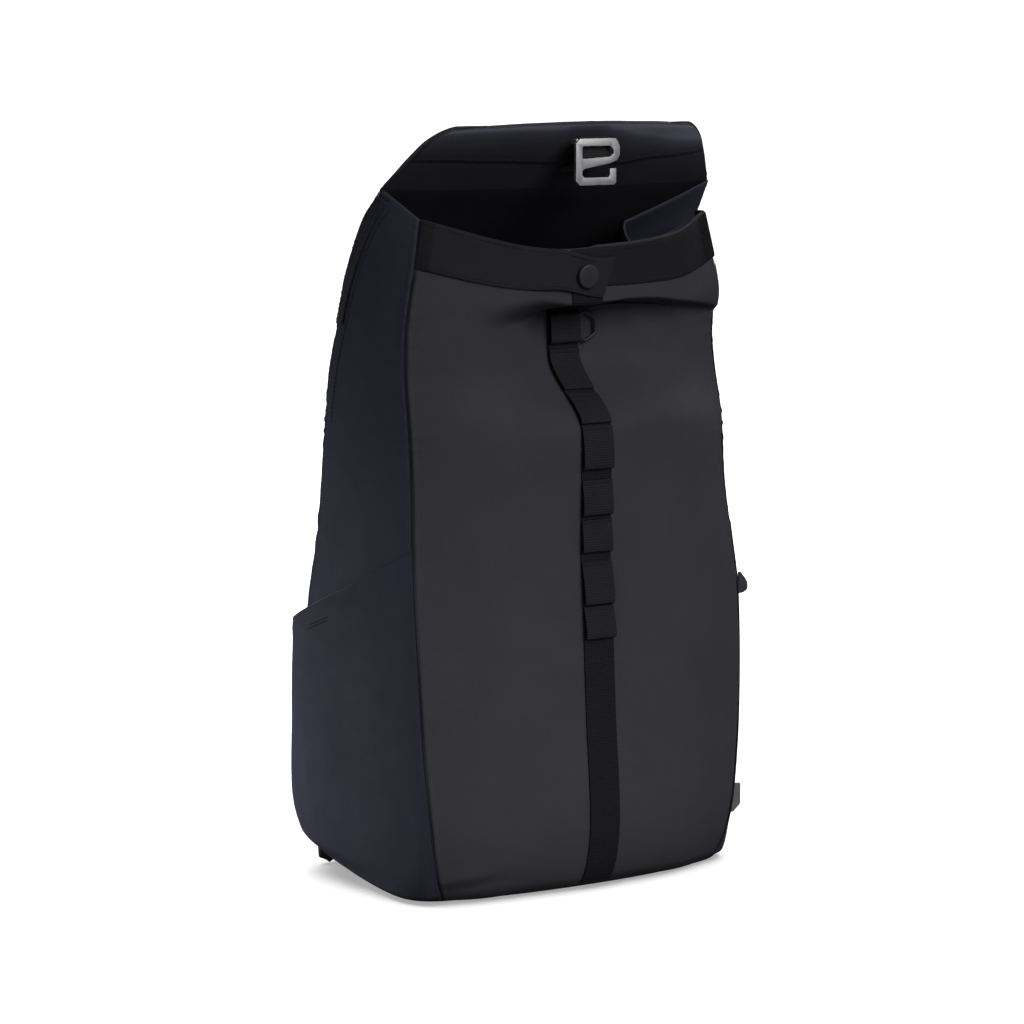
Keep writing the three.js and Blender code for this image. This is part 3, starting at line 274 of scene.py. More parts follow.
@dataclass(frozen=True)
class BagForm:
    """Smooth surfaces of the standing bag that its cloth follows."""

    body: Profile = Profile(
        ["z", "frontHalf", "frontY", "belly", "backHalf", "backY", "hood", "sideBow", "flare", "setBack",
         "rightBow"],
        [
            [0, 114, -72, 13, 116, 64, -4, 3, 22, 3, 0],
            [8, 121, -80, 15, 126, 69, -5, 4, 18, 4, 0],
            [30, 130, -87, 16, 140, 74, -6, 5, 8, 6, 0],
            [60, 135, -89, 16, 149, 75, -6, 5, 2, 6.5, 0],
            [120, 140, -87, 13, 149, 68, -6, 5, 0, 6.5, 0],
            [200, 142, -82, 13, 147.5, 58, -6, 6, 0, 6.5, 0],
            [242, 140, -75, 17, 145, 50.5, -6, 7, 0, 6, 1],
            [280, 137, -69.5, 23, 143.5, 45.5, -6, 8, 0, 5.5, 3.5],
            [330, 136, -64.5, 28, 142.5, 40.5, -5, 8, 0, 4.5, 2.5],
            [365, 135, -58, 27, 142, 35.5, -2, 6, 0, 3.2, 0],
            [385, 134.6, -57.3, 26, 142, 29, 0.3, 5.5, 0, 4, 0],
            [400, 134, -57, 25, 142, 23, 3, 5, 0, 3, 0],
            [418, 131.2, -56.4, 25, 142, 16.6, 7.6, 4.2, 0, -1, 0],
            [440, 126.5, -55.5, 25, 142, 8, 14, 3, 0, -1.8, 0],
            [477, 120, -54, 29, 142, -14, 21, 1, 0, 0, 0],
            [497, 117, -53, 30, 138, -31, 24, 0, 0, 0, 0],
        ],
    )
    mouth: Profile = Profile(
        ["s", "rim", "bandLow", "crease", "dent"],
        [
            [-1, 476, 443.5, 396, 0],
            [-0.65, 463.5, 432.5, 403.5, 0.04],
            [-0.38, 456, 427, 407.5, 0.5],
            [-0.143, 453.5, 426.5, 410.5, 1],
            [0, 454, 427, 411.5, 1],
            [0.143, 454.5, 427.5, 412.5, 1],
            [0.4, 456.5, 428, 413.5, 0.82],
            [0.7, 461.5, 431, 409.5, 0.48],
            [1, 475, 443, 404, 0.12],
        ],
    )
    set_in: float = 0.66
    belly_power: float = 2.4
    dent_depth: float = 33.0
    dent_lip: Pair = (13.0, 3.8)
    dent_under: Pair = (7.0, 1.8)
    dent_sharp: Pair = (-0.34, -0.06)
    dent_flat: float = 33.0
    dent_end: float = 85.0
    knee_v: float = 0.5
    band_v: float = 0.85
    knee_drop: float = 102.0
    knee_spread: float = 18.0
    back_rows: tuple[float, float, float, float] = (19.0, 306.0, 458.0, 497.0)
    foot_middle: float = 1.1
    foot_lean: float = -0.6
    side_sag: float = 4.5
    side_sag_to: float = 0.12
    side_rear: float = 1.0
    side_rear_at: Pair = (0.82, 0.13)
    flare_rear: float = 0.95
    flare_power: int = 6
    fold_tip: float = 47.0
    fold_radius: float = 4.5
    fold_turn: float = 0.4
    fold_clear: float = 5.0
    fold_gap: float = 2.0
    fold_set: float = 9.0
    fold_margin: float = 0.06
    fold_drop: float = 16.0
    fold_below: float = 2.0
    fold_from: float = 0.7
    fold_to: float = 0.96

    def row_height(self, v: Array, foot: Any, knee: Any, band: Any, top: Any) -> Array:
        """Height on a panel.

        Args:
            v: Row share.
            foot: Height at the base.
            knee: Height at the knee.
            band: Height at the bands.
            top: Height at the top.

        Returns:
            The heights.
        """
        low = mix(foot, knee, v / self.knee_v)
        high = mix(knee, band, (v - self.knee_v) / (self.band_v - self.knee_v))
        rim = mix(band, top, (v - self.band_v) / (1 - self.band_v))
        return np.where(v <= self.knee_v, low, np.where(v <= self.band_v, high, rim))

    def front_height(self, s: Array, v: Array) -> Array:
        """Height on the front at s across and row share v."""
        low, rim = self.mouth.read("bandLow", s), self.mouth.read("rim", s)
        knee = self.mouth.read("bandLow", 0.0) - self.knee_drop - self.knee_spread * s * s
        return self.row_height(v, self.foot_middle + self.foot_lean * s, knee, low, rim)

    def front(self, s: Array, v: Array) -> Array:
        """Points of the front.

        Args:
            s: Share across, from -1 at the left seam to 1 at the right one.
            v: Row share, from 0 at the base to 1 at the rim.

        Returns:
            The points.
        """
        s, v = np.broadcast_arrays(np.asarray(s, float), np.asarray(v, float))
        z = self.front_height(s, v)
        crease = self.mouth.read("crease", s)
        sharp = ramp(s, *self.dent_sharp)
        under, lip = mix(*self.dent_under, sharp), mix(*self.dent_lip, sharp)
        above = 1 - ramp((z - crease + under) / (lip + under), 0, 1)
        below = ramp(z - crease, -self.dent_end, -self.dent_flat)
        dent = self.dent_depth * np.maximum(self.mouth.read("dent", s), 0) * above * below
        bow = self.body.read("belly", z) * (1 - np.abs(s) ** self.belly_power)
        back_set = np.where(s > 0, s * s, 0) * self.body.read("setBack", z)
        x = s * self.body.read("frontHalf", z) - self.set_in * back_set
        return points_of(x, self.body.read("frontY", z) - bow + dent + back_set, z)

    def back(self, s: Array, v: Array) -> Array:
        """Points of the back at s across and row share v."""
        z = self.row_height(np.asarray(v, float), *self.back_rows)
        bow = self.body.read("hood", z) * (1 - np.asarray(s, float) ** 2)
        return points_of(s * self.body.read("backHalf", z), self.body.read("backY", z) - bow, z)

    def back_face(self, x: Any, z: Any) -> Array:
        """Y of the back's outer face at x and height z."""
        z = np.clip(z, self.back_rows[0], self.back_rows[3])
        s = np.clip(x / self.body.read("backHalf", z), -1, 1)
        return self.body.read("backY", z) - self.body.read("hood", z) * (1 - s * s)

    def fold(self, u: Array, start: Array, end: Array) -> Array:
        """Folded top of the right side.

        Args:
            u: Share from the front seam to the back seam.
            start: Points of the front seam.
            end: Points of the back seam.

        Returns:
            The points.
        """
        hood, turn, margin = self.body.read("hood", end[..., 2]), self.fold_turn, self.fold_margin

        def behind(x: Array) -> Array:
            """Y of the back at x."""
            return end[..., 1] - hood * (1 - (x / end[..., 0]) ** 2)

        in_x = self.fold_tip + self.fold_radius
        tip_y = behind(np.full(u.shape, in_x)) - self.fold_clear - self.fold_radius
        tip_z = (start[..., 2] + end[..., 2]) / 2 - self.fold_drop
        away = np.minimum(np.minimum(u, 1 - u) / margin, 1)
        t = np.clip((u - margin) / (turn - margin), 0, 1)
        fore = points_of(mix(start[..., 0] - self.fold_gap * away, in_x, t),
                         mix(start[..., 1] + self.fold_set * away, tip_y - self.fold_radius, t),
                         mix(start[..., 2], tip_z - self.fold_drop, np.sqrt(t)))
        t = np.clip((u - 1 + turn) / (turn - margin), 0, 1)
        x = mix(in_x, end[..., 0] - self.fold_gap * away, t)
        rear = points_of(x, behind(x) - self.fold_clear * away,
                         mix(tip_z, end[..., 2] - self.fold_below * away, t))
        share = np.clip((u - turn) / (1 - 2 * turn), 0, 1)
        angle = math.pi * (share - 0.5)
        bend = points_of(in_x - self.fold_radius * np.cos(angle),
                         tip_y + self.fold_radius * np.sin(angle),
                         mix(tip_z - self.fold_drop, tip_z, ramp(share, 0, 1)))
        return np.where((u <= turn)[..., None], fore, np.where((u >= 1 - turn)[..., None], rear, bend))

    def side(self, u: Array, v: Array, which: Side) -> Array:
        """Points of a side.

        Args:
            u: Share from the front seam to the back seam.
            v: Row share.
            which: The side.

        Returns:
            The points.
        """
        u, v = np.broadcast_arrays(np.asarray(u, float), np.asarray(v, float))
        sign = float(which.value)
        start, end = self.front(np.full(u.shape, sign), v), self.back(np.full(u.shape, sign), v)
        flat = mix(start, end, u[..., None])
        along = unit((end - start) * np.array([1, 1, 0]))
        curve = 4 * u * (1 - u)
        square = (1 - (2 * u - 1) ** self.flare_power) * (1 - self.flare_rear * u)
        bulge = self.body.read("sideBow", flat[..., 2])
        if which is Side.RIGHT:
            bulge = bulge + self.body.read("rightBow", flat[..., 2])
        bow = bulge * curve + self.body.read("flare", flat[..., 2]) * square
        flat = flat + points_of(along[..., 1], -along[..., 0], 0) * (sign * bow)[..., None]
        sag = self.side_sag * curve + self.side_rear * bell(u, *self.side_rear_at)
        flat[..., 2] -= sag * (1 - ramp(v, 0, self.side_sag_to))
        if which is Side.LEFT:
            return flat
        return mix(flat, self.fold(u, start, end), ramp(v, self.fold_from, self.fold_to)[..., None])


@dataclass
class Weft:
    """Grid of points over a piece of cloth, its rows running up and its columns across."""

    points: Array
    facing: float

    def normals(self) -> Array:
        """Outward unit normals at the points."""
        across, up = np.gradient(self.points, axis=1), np.gradient(self.points, axis=0)
        return unit(np.cross(across, up)) * self.facing

    def lengths(self) -> tuple[Array, Array]:
        """Distances from the first column and from the first row, at each point.

        Returns:
            Distances across and up.
        """
        across = np.zeros(self.points.shape[:2])
        up = np.zeros(self.points.shape[:2])
        across[:, 1:] = np.cumsum(np.linalg.norm(np.diff(self.points, axis=1), axis=-1), axis=1)
        up[1:] = np.cumsum(np.linalg.norm(np.diff(self.points, axis=0), axis=-1), axis=0)
        return across, up

    def area(self) -> float:
        """Area of the cloth in square metres."""
        across, up = np.diff(self.points, axis=1), np.diff(self.points, axis=0)
        return float(np.linalg.norm(np.cross(across[:-1], up[:, :-1]), axis=-1).sum()) * MM * MM

    def raised(self, height: Array | float) -> Array:
        """Points moved out along the normals."""
        return self.points + self.normals() * np.broadcast_to(height, self.points.shape[:2])[..., None]

    def eased(self, height: Array | float, passes: int = 6) -> Array:
        """Points moved out along the normals, then smoothed up the cloth so that they don't cross.

        Args:
            height: How far they move.
            passes: How often they are smoothed.

        Returns:
            The points.
        """
        made = self.raised(height)
        for _ in range(passes):
            made[1:-1] = (made[:-2] + 2 * made[1:-1] + made[2:]) / 4
        return made


def smooth(mesh: Mesh) -> None:
    """Shades a mesh smooth."""
    mesh.polygons.foreach_set("use_smooth", np.ones(len(mesh.polygons), bool))


def linked(name: str, data: Any) -> Piece:
    """New object in the scene."""
    obj = bpy.data.objects.new(name, data)
    bpy.context.scene.collection.objects.link(obj)
    return obj


def evaluated(obj: Piece) -> Piece:
    """Object as its modifiers leave it."""
    return obj.evaluated_get(bpy.context.evaluated_depsgraph_get())


def keep_made(obj: Piece) -> None:
    """Keeps the mesh that an object's modifiers make, without them."""
    made = bpy.data.meshes.new_from_object(evaluated(obj))
    obj.modifiers.clear()
    obj.data = made


def points_in(mesh: Mesh) -> Array:
    """Points of a mesh in millimetres."""
    co = np.zeros(len(mesh.vertices) * 3)
    mesh.vertices.foreach_get("co", co)
    return co.reshape(-1, 3) / MM


def paint(mesh: Mesh, *finishes: Material) -> None:
    """Gives a mesh these finishes and no others."""
    mesh.materials.clear()
    for finish in finishes:
        mesh.materials.append(finish)


def rework(mesh: Mesh, weld: float, level: float = 0.0, outward: bool = True) -> None:
    """Cleans a mesh.

    Args:
        mesh: The mesh.
        weld: Distance within which points are merged, or 0.
        level: Angle in degrees up to which neighbouring faces are joined, or 0.
        outward: Whether the faces are turned outwards.
    """
    work = bmesh.new()
    work.from_mesh(mesh)
    if weld:
        bmesh.ops.remove_doubles(work, verts=work.verts, dist=weld)
    if level:
        bmesh.ops.dissolve_limit(work, angle_limit=math.radians(level), verts=work.verts,
                                 edges=work.edges)
    if outward:
        bmesh.ops.recalc_face_normals(work, faces=work.faces)
    work.to_mesh(mesh)
    work.free()


def tube_faces(rings: int, count: int) -> list[list[int]]:
    """Faces of a closed skin over rings of points, with a cap at both ends.

    Args:
        rings: How many rings.
        count: Points of a ring.

    Returns:
        Corners of each face.
    """
    index = np.arange(rings * count).reshape(rings, count)
    after = np.roll(index, -1, axis=1)
    quads = np.stack([index[:-1], after[:-1], after[1:], index[1:]], axis=-1).reshape(-1, 4)
    return [index[0, ::-1].tolist()] + quads.tolist() + [index[-1].tolist()]


def mesh_object(name: str, verts: Array, faces: Sequence[Sequence[int]]) -> Piece:
    """Object in the scene from points in millimetres.

    Args:
        name: Name of the object.
        verts: The points.
        faces: Corners of each face.

    Returns:
        The object, shaded smooth.
    """
    mesh = bpy.data.meshes.new(name)
    mesh.from_pydata((np.asarray(verts) * MM).tolist(), [], faces)
    smooth(mesh)
    mesh.update()
    return linked(name, mesh)


def shell(name: str, outer: Array, inner: Array, face: Material, lining: Material,
          rise: Array | None = None) -> Piece:
    """Closed sheet of cloth between two grids of points, with rounded edges.

    Args:
        name: Name of the object.
        outer: Points of the outer face.
        inner: Points of the inner face.
        face: Finish of the outer face and the edges.
        lining: Finish of the inner face.
        rise: Share up the piece at each point, kept for finishes whose painted light and shade follow it.

    Returns:
        The object, with its UV map in metres of cloth.
    """
    rows, columns = outer.shape[:2]
    index = np.arange(rows * columns).reshape(rows, columns)
    rim = np.concatenate([index[0, :-1], index[:-1, -1], index[-1, :0:-1], index[:0:-1, 0]])
    row, column = np.divmod(rim, columns)
    inside = outer[np.clip(row, 1, rows - 2), np.clip(column, 1, columns - 2)]
    edge, under = outer.reshape(-1, 3)[rim], inner.reshape(-1, 3)[rim]
    thick = np.linalg.norm(edge - under, axis=1, keepdims=True)
    round_edge = (edge + under) / 2 + unit(edge - inside) * thick * EDGE_ROUND
    total = rows * columns
    corners = [index[:-1, :-1], index[:-1, 1:], index[1:, 1:], index[1:, :-1]]
    quads = np.stack(corners, axis=-1).reshape(-1, 4)
    middle = 2 * total + np.arange(len(rim))
    following = np.roll(np.arange(len(rim)), -1)
    upper = np.stack([rim, middle, middle[following], rim[following]], axis=1)
    lower = np.stack([middle, rim + total, rim[following] + total, middle[following]], axis=1)
    faces = np.vstack([quads, upper, lower, quads[:, ::-1] + total])
    j, i = rows // 2, columns // 2
    turn = np.cross(outer[j, i + 1] - outer[j, i], outer[j + 1, i] - outer[j, i])
    if np.dot(turn, outer[j, i] - inner[j, i]) < 0:
        faces = faces[:, ::-1]
    verts = np.vstack([outer.reshape(-1, 3), inner.reshape(-1, 3), round_edge])
    obj = mesh_object(name, verts, faces.tolist())
    across, up = Weft(outer, 1).lengths()
    flat = np.stack([across, up], axis=-1).reshape(-1, 2) * MM
    flat = np.vstack([flat, flat, flat[rim]])
    layer = obj.data.uv_layers.new(name="UVMap")
    layer.data.foreach_set("uv", flat[faces.ravel()].ravel())
    if rise is not None:
        share = obj.data.attributes.new("rise", "FLOAT", "POINT")
        share.data.foreach_set("value", np.concatenate([rise.ravel(), rise.ravel(), rise.ravel()[rim]]))
    paint(obj.data, face, lining)
    slots = np.zeros(len(faces), np.int32)
    slots[-len(quads):] = 1
    obj.data.polygons.foreach_set("material_index", slots)
    return obj


def place(obj: Piece, slot: Slot, replaced: Sequence[str] = (), body: Body = Body.BAG) -> None:
    """Hands a finished piece to the frame.

    Args:
        obj: The piece.
        slot: Material slot of the record; not used.
        replaced: Solids that it stands for.
        body: Body that it moves with.
    """
    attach(obj, body.value)
    for node in replaced:
        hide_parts(node)
    LOG.info("%s: %d faces", obj.name, len(obj.data.polygons))


def place_sheet(obj: Piece, slot: Slot, node: str, weft: Weft) -> None:
    """Hands over a panel of cloth that its seams hold stretched, with its cut size.

    Args:
        obj: The panel.
        slot: Material slot of the record; passed on, not used.
        node: Solid that it stands for.
        weft: Its grid.
    """
    place(obj, slot, [node])
    across, up = weft.lengths()
    width, length = float(across[:, -1].max()) * MM, float(up[-1].max()) * MM
    area = min(max(weft.area() / (width * length), LEAST_AREA), 1.0) * width * length
    LOG.info("%s: flat %.0f x %.0f mm, %.4f m2", obj.name, width / MM, length / MM, area)


def linear(tone: Sequence[float]) -> tuple[float, float, float, float]:
    """Linear colour of a display colour given from 0 to 255."""
    c = np.array(tone[:3], float) / 255
    value = np.where(c <= 0.04045, c / 12.92, ((c + 0.055) / 1.055) ** 2.4)
    return (float(value[0]), float(value[1]), float(value[2]), 1.0)


def add_node(tree: Any, kind: str, inputs: dict[Any, Any], **settings: Any) -> Any:
    """Adds a node to a tree.

    Args:
        tree: The tree.
        kind: Kind of node.
        inputs: Value, or socket to link, for inputs by name or number.
        **settings: Properties of the node.

    Returns:
        The node.
    """
    made = tree.nodes.new(kind)
    for key, value in settings.items():
        setattr(made, key, value)
    for key, value in inputs.items():
        if isinstance(value, Socket):
            tree.links.new(value, made.inputs[key])
        else:
            made.inputs[key].default_value = value
    return made


def output(tree: Any, kind: str, inputs: dict[Any, Any], **settings: Any) -> Socket:
    """First output of a node that is added to a tree."""
    return add_node(tree, kind, inputs, **settings).outputs[0]


def reckon(tree: Any, operation: str, *values: Any) -> Socket:
    """Result of arithmetic on numbers and sockets in a tree."""
    return output(tree, "ShaderNodeMath", dict(enumerate(values)), operation=operation)


def span(tree: Any, value: Any, given: Pair, wanted: Pair) -> Socket:
    """Value in a tree, taken from one range to another."""
    return output(tree, "ShaderNodeMapRange", {
        "Value": value, "From Min": given[0], "From Max": given[1], "To Min": wanted[0],
        "To Max": wanted[1]})


class Shader:
    """Node tree of one material, built a node at a time."""

    noise_span: Pair = (0.25, 0.75)
    bump_strength: float = 0.6

    def __init__(self, name: str, coordinates: str) -> None:
        """Starts a material.

        Args:
            name: Name of the material.
            coordinates: Texture coordinates that its textures read, "UV" or "Object".
        """
        self.material = bpy.data.materials.new(name)
        self.material.use_nodes = True
        self.tree = self.material.node_tree
        self.surface = self.tree.nodes["Principled BSDF"]
        self.where = self.tree.nodes.new("ShaderNodeTexCoord").outputs[coordinates]

    def noise(self, scale: float, detail: float) -> Socket:
        """Cloudy noise with so many lumps per metre."""
        made = add_node(self.tree, "ShaderNodeTexNoise", {
            "Vector": self.where, "Scale": scale, "Detail": detail})
        return made.outputs["Fac"]

    def threads(self, per_metre: float, direction: str) -> Socket:
        """Rounded threads side by side along one direction."""
        made = add_node(self.tree, "ShaderNodeTexWave", {
            "Vector": self.where, "Scale": per_metre / 10 * math.pi, "Distortion": 0.6, "Detail": 1.0,
            "Detail Scale": 2.0}, bands_direction=direction)
        return made.outputs["Fac"]

    def sum(self, a: Any, b: Any, share: float) -> Socket:
        """Adds share times b to a."""
        return reckon(self.tree, "MULTIPLY_ADD", b, share, a)

    def product(self, a: Any, b: Any) -> Socket:
        """Product of two values."""
        return reckon(self.tree, "MULTIPLY", a, b)

    def ranged(self, value: Socket, low: float, high: float) -> Socket:
        """Maps a noise value to a range, with more contrast round its middle."""
        return span(self.tree, value, self.noise_span, (low, high))

    def blotched(self, more: Socket, less: Socket) -> Socket:
        """Mixture of two noises, the first the stronger."""
        return self.sum(self.product(self.ranged(more, 0.0, 1.0), 0.6), self.ranged(less, 0.0, 1.0), 0.4)

    def stored(self, name: str) -> Socket:
        """Value that the mesh keeps at its points under a name."""
        return add_node(self.tree, "ShaderNodeAttribute", {}, attribute_name=name).outputs["Fac"]

    def stepped(self, value: Socket, stops: Sequence[Pair]) -> Socket:
        """Value read through a smooth table.

        Args:
            value: Where to read it.
            stops: Places and shares of the table.

        Returns:
            The share.
        """
        made = add_node(self.tree, "ShaderNodeValToRGB", {"Fac": value})
        table = made.color_ramp.elements
        while len(table) < len(stops):
            table.new(0.5)
        for element, (at, share) in zip(table, stops):
            element.position, element.color = at, (share, share, share, 1.0)
        return made.outputs["Color"]

    def tone(self, share: Socket, tone: Sequence[float], contrast: float,
             gain: Socket | None = None) -> None:
        """Colours the surface.

        Args:
            share: Share from the darkest tone to the lightest.
            tone: Display colour between the two.
            contrast: How much darker and lighter it gets.
            gain: Factor of the whole, which paints light and shade where it is given.
        """
        dark, light = (linear([c * level for c in tone]) for level in (1 - contrast, 1 + contrast))
        made = add_node(self.tree, "ShaderNodeMix", {"Factor": share, "A": dark, "B": light},
                        data_type="RGBA")
        colour = made.outputs["Result"]
        if gain is not None:
            colour = output(self.tree, "ShaderNodeVectorMath", {0: colour, 1: gain}, operation="MULTIPLY")
        self.tree.links.new(colour, self.surface.inputs["Base Color"])

    def finish(self, rough: Socket, height: Socket, depth: float,
               values: dict[str, float]) -> Material:
        """Sets the rest of the surface.

        Args:
            rough: Roughness.
            height: Height of the fine relief, from 0 to 1.
            depth: Depth of the relief in metres.
            values: Constant inputs of the surface.

        Returns:
            The material.
        """
        self.tree.links.new(rough, self.surface.inputs["Roughness"])
        bump = output(self.tree, "ShaderNodeBump", {"Height": height, "Strength": self.bump_strength,
                                                  "Distance": depth})
        self.tree.links.new(bump, self.surface.inputs["Normal"])
        for key, value in values.items():
            self.surface.inputs[key].default_value = value
        return self.material


@dataclass(frozen=True)
class ClothFinish:
    """Coated woven cloth."""

    name: str
    tone: Triple
    contrast: float = 0.08
    rough: float = 0.8
    uneven: float = 0.06
    cloud: float = 16.0
    grain: float = 1100.0
    threads: float = 1100.0
    relief: float = 0.00018
    sheen: float = 0.0
    specular: float = 0.1
    painted_shade_stops: tuple[Pair, ...] = ()

    def build(self) -> Material:
        """Builds the material; where stops are given, it paints light and shade that follow the share up
        the piece.

        Returns:
            The material.
        """
        shader = Shader(self.name, "UV")
        # Painted light and shade: the colour is scaled by the table of stops, read at the share up the
        # piece.
        gain = shader.stepped(shader.stored("rise"), self.painted_shade_stops) if self.painted_shade_stops else None
        cloud, grain = shader.noise(self.cloud, 4), shader.noise(self.grain, 3)
        weave = shader.sum(shader.threads(self.threads, "X"), shader.threads(self.threads, "Y"), 1.0)
        share = shader.sum(shader.ranged(cloud, 0.0, 0.55), shader.ranged(grain, 0.0, 1.0), 0.45)
        shader.tone(share, self.tone, self.contrast, gain)
        rough = shader.ranged(shader.noise(60, 4), self.rough - self.uneven, self.rough + self.uneven)
        height = shader.sum(shader.product(weave, 0.35), grain, 0.6)
        return shader.finish(rough, height, self.relief, {
            "Sheen Weight": self.sheen, "Sheen Roughness": 0.5, "Specular IOR Level": self.specular})


@dataclass(frozen=True)
class TapeFinish:
    """Woven tape with a slanting twill."""

    name: str
    tone: Triple
    per_metre: float = 900.0
    contrast: float = 0.09
    rough: Pair = (0.66, 0.8)
    relief: float = 0.00016

    def build(self) -> Material:
        """Builds the material.

        Returns:
            The material.
        """
        shader = Shader(self.name, "UV")
        twill = shader.threads(self.per_metre, "DIAGONAL")
        cross = shader.threads(self.per_metre * 1.7, "Y")
        grain, cloud = shader.noise(1600, 2), shader.noise(45, 3)
        weave = shader.sum(shader.product(twill, 0.7), cross, 0.3)
        share = shader.sum(shader.product(weave, 0.6), shader.ranged(cloud, 0.0, 1.0), 0.4)
        shader.tone(share, self.tone, self.contrast)
        rough = shader.ranged(shader.noise(90, 3), *self.rough)
        return shader.finish(rough, shader.sum(weave, grain, 0.5), self.relief, {
            "Sheen Weight": 0.0, "Specular IOR Level": 0.07})


@dataclass(frozen=True)
class StrandFinish:
    """Webbing, thread and fuzz, whose ribs are in the shape; the yarn's own grain is added here."""

    name: str
    tone: Triple
    grain: float = 1500.0
    contrast: float = 0.24
    rough: Pair = (0.68, 0.84)
    relief: float = 0.0005
    sheen: float = 0.02

    def build(self) -> Material:
        """Builds the material.

        Returns:
            The material.
        """
        shader = Shader(self.name, "Object")
        yarn, cloud = shader.noise(self.grain, 3), shader.noise(70, 3)
        share = shader.blotched(yarn, cloud)
        shader.tone(share, self.tone, self.contrast)
        rough = shader.ranged(shader.noise(160, 2), *self.rough)
        return shader.finish(rough, yarn, self.relief, {
            "Sheen Weight": self.sheen, "Sheen Roughness": 0.4, "Specular IOR Level": 0.12})


@dataclass(frozen=True)
class WebbingFinish:
    """Webbing with fine ribs across its run."""

    name: str
    tone: Triple
    per_metre: float = 560.0
    contrast: float = 0.22
    rough: Pair = (0.68, 0.84)
    relief: float = 0.0005

    def build(self) -> Material:
        """Builds the material.

        Returns:
            The material.
        """
        shader = Shader(self.name, "Object")
        turns = shader.product(shader.stored("along"), 2 * math.pi * self.per_metre)
        rib = reckon(shader.tree, "MULTIPLY_ADD", reckon(shader.tree, "SINE", turns), 0.5, 0.5)
        yarn, cloud = shader.noise(1500, 3), shader.noise(70, 3)
        share = shader.sum(shader.product(rib, 0.55), shader.ranged(yarn, 0.0, 1.0), 0.25)
        share = shader.sum(share, shader.ranged(cloud, 0.0, 1.0), 0.2)
        shader.tone(share, self.tone, self.contrast)
        rough = shader.ranged(shader.noise(160, 2), *self.rough)
        return shader.finish(rough, shader.sum(shader.product(rib, 0.8), yarn, 0.35), self.relief, {
            "Sheen Weight": 0.0, "Specular IOR Level": 0.06})


@dataclass(frozen=True)
class HardFinish:
    """Moulded plastic or cast metal with fine wear."""

    name: str
    tone: Triple
    metallic: float
    rough: float
    contrast: float = 0.1
    wear: Pair = (0.07, 0.09)
    relief: float = 0.00006
    specular: float = 0.4

    def build(self) -> Material:
        """Builds the material.

        Returns:
            The material.
        """
        shader = Shader(self.name, "Object")
        cloud, grain = shader.noise(120, 4), shader.noise(2600, 3)
        share = shader.blotched(cloud, grain)
        shader.tone(share, self.tone, self.contrast)
        less, more = self.wear
        rough = shader.ranged(shader.noise(240, 4), self.rough - less, self.rough + more)
        return shader.finish(rough, grain, self.relief, {
            "Metallic": self.metallic, "Specular IOR Level": self.specular})


@dataclass(frozen=True)
class FloorFinish:
    """White studio floor that shines more and more away from the bag."""

    name: str = "studio_floor"
    tone: Triple = (232.0, 232.0, 232.0)
    contrast: float = 0.003
    reach: Pair = (0.6, 1.6)
    glow: Pair = (0.35, 1.1)

    def build(self) -> Material:
        """Builds the material.

        Returns:
            The material.
        """
        shader = Shader(self.name, "Object")
        grain = shader.noise(30, 2)
        shader.tone(grain, self.tone, self.contrast)
        away = add_node(shader.tree, "ShaderNodeVectorMath", {0: shader.where}, operation="LENGTH")
        glow = span(shader.tree, away.outputs["Value"], self.reach, self.glow)
        shader.tree.links.new(glow, shader.surface.inputs["Emission Strength"])
        shader.surface.inputs["Emission Color"].default_value = (1, 1, 1, 1)
        return shader.finish(shader.ranged(grain, 0.9, 0.95), grain, 0.00001, {"Specular IOR Level": 0.0})


class Palette:
    """The finishes of the bag."""

    def __init__(self) -> None:
        """Builds every finish once."""
        self.charcoal = ClothFinish("charcoal_cloth", (47, 46, 51)).build()
        self.navy = ClothFinish("navy_cloth", (41, 42, 54)).build()
        # Painted light and shade for the flap's inside, its hem and the top of the back's lining: the
        # tone is lightest at the flap's top edge and darkens deeper into the mouth.
        inside = ((0.0, 0.06), (0.1, 0.135), (0.37, 0.15), (0.55, 0.17), (0.685, 0.21), (0.82, 0.32),
                  (0.91, 0.5), (0.985, 1.0))
        self.hem = ClothFinish("flap_inside_painted_shade", (72, 73, 84), painted_shade_stops=inside).build()
        self.black = ClothFinish("black_cloth", (24, 24, 27), contrast=0.12).build()
        self.lining = ClothFinish("dark_lining", (17, 18, 22), contrast=0.12).build()
        self.mesh = ClothFinish("back_mesh", (42, 42, 48), contrast=0.2, threads=420,
                                relief=0.0007).build()
        self.tape = TapeFinish("band_tape", (30, 29, 32)).build()
        # Painted shade: the right band is the same tape, darker as if it lay in shade.
        self.tape_shaded = TapeFinish("band_tape_shaded", (24, 23, 26)).build()
        self.webbing = WebbingFinish("ribbed_webbing", (21, 21, 24)).build()
        # Painted light: the loops are the strap's webbing, lighter because they bulge out into the light.
        self.loops = WebbingFinish("loop_webbing_lit", (28, 28, 31)).build()
        # Painted light: the webbing round the hook is lighter so that it reads as lit where it lies in
        # shade.
        self.hook_web_lit = WebbingFinish("hook_webbing", (35, 35, 36)).build()
        self.tacks = StrandFinish("tack_thread", (15, 15, 18), grain=3200).build()
        self.tab = StrandFinish("seam_tab", (46, 45, 50), grain=1400, contrast=0.3).build()
        self.thread = StrandFinish("sewing_thread", (27, 27, 31), grain=3200, contrast=0.2).build()
        self.fuzz = StrandFinish("napped_tape", (33, 34, 44), grain=700, relief=0.0012, sheen=0.1).build()
        self.grey = StrandFinish("grey_tab", (82, 82, 80), grain=1200).build()
        self.plastic = HardFinish("black_plastic", (30, 30, 33), 0.0, 0.52, specular=0.24).build()
        self.metal = HardFinish("cast_metal", (160, 160, 162), 1.0, 0.55, contrast=0.05).build()
        self.floor = FloorFinish().build()


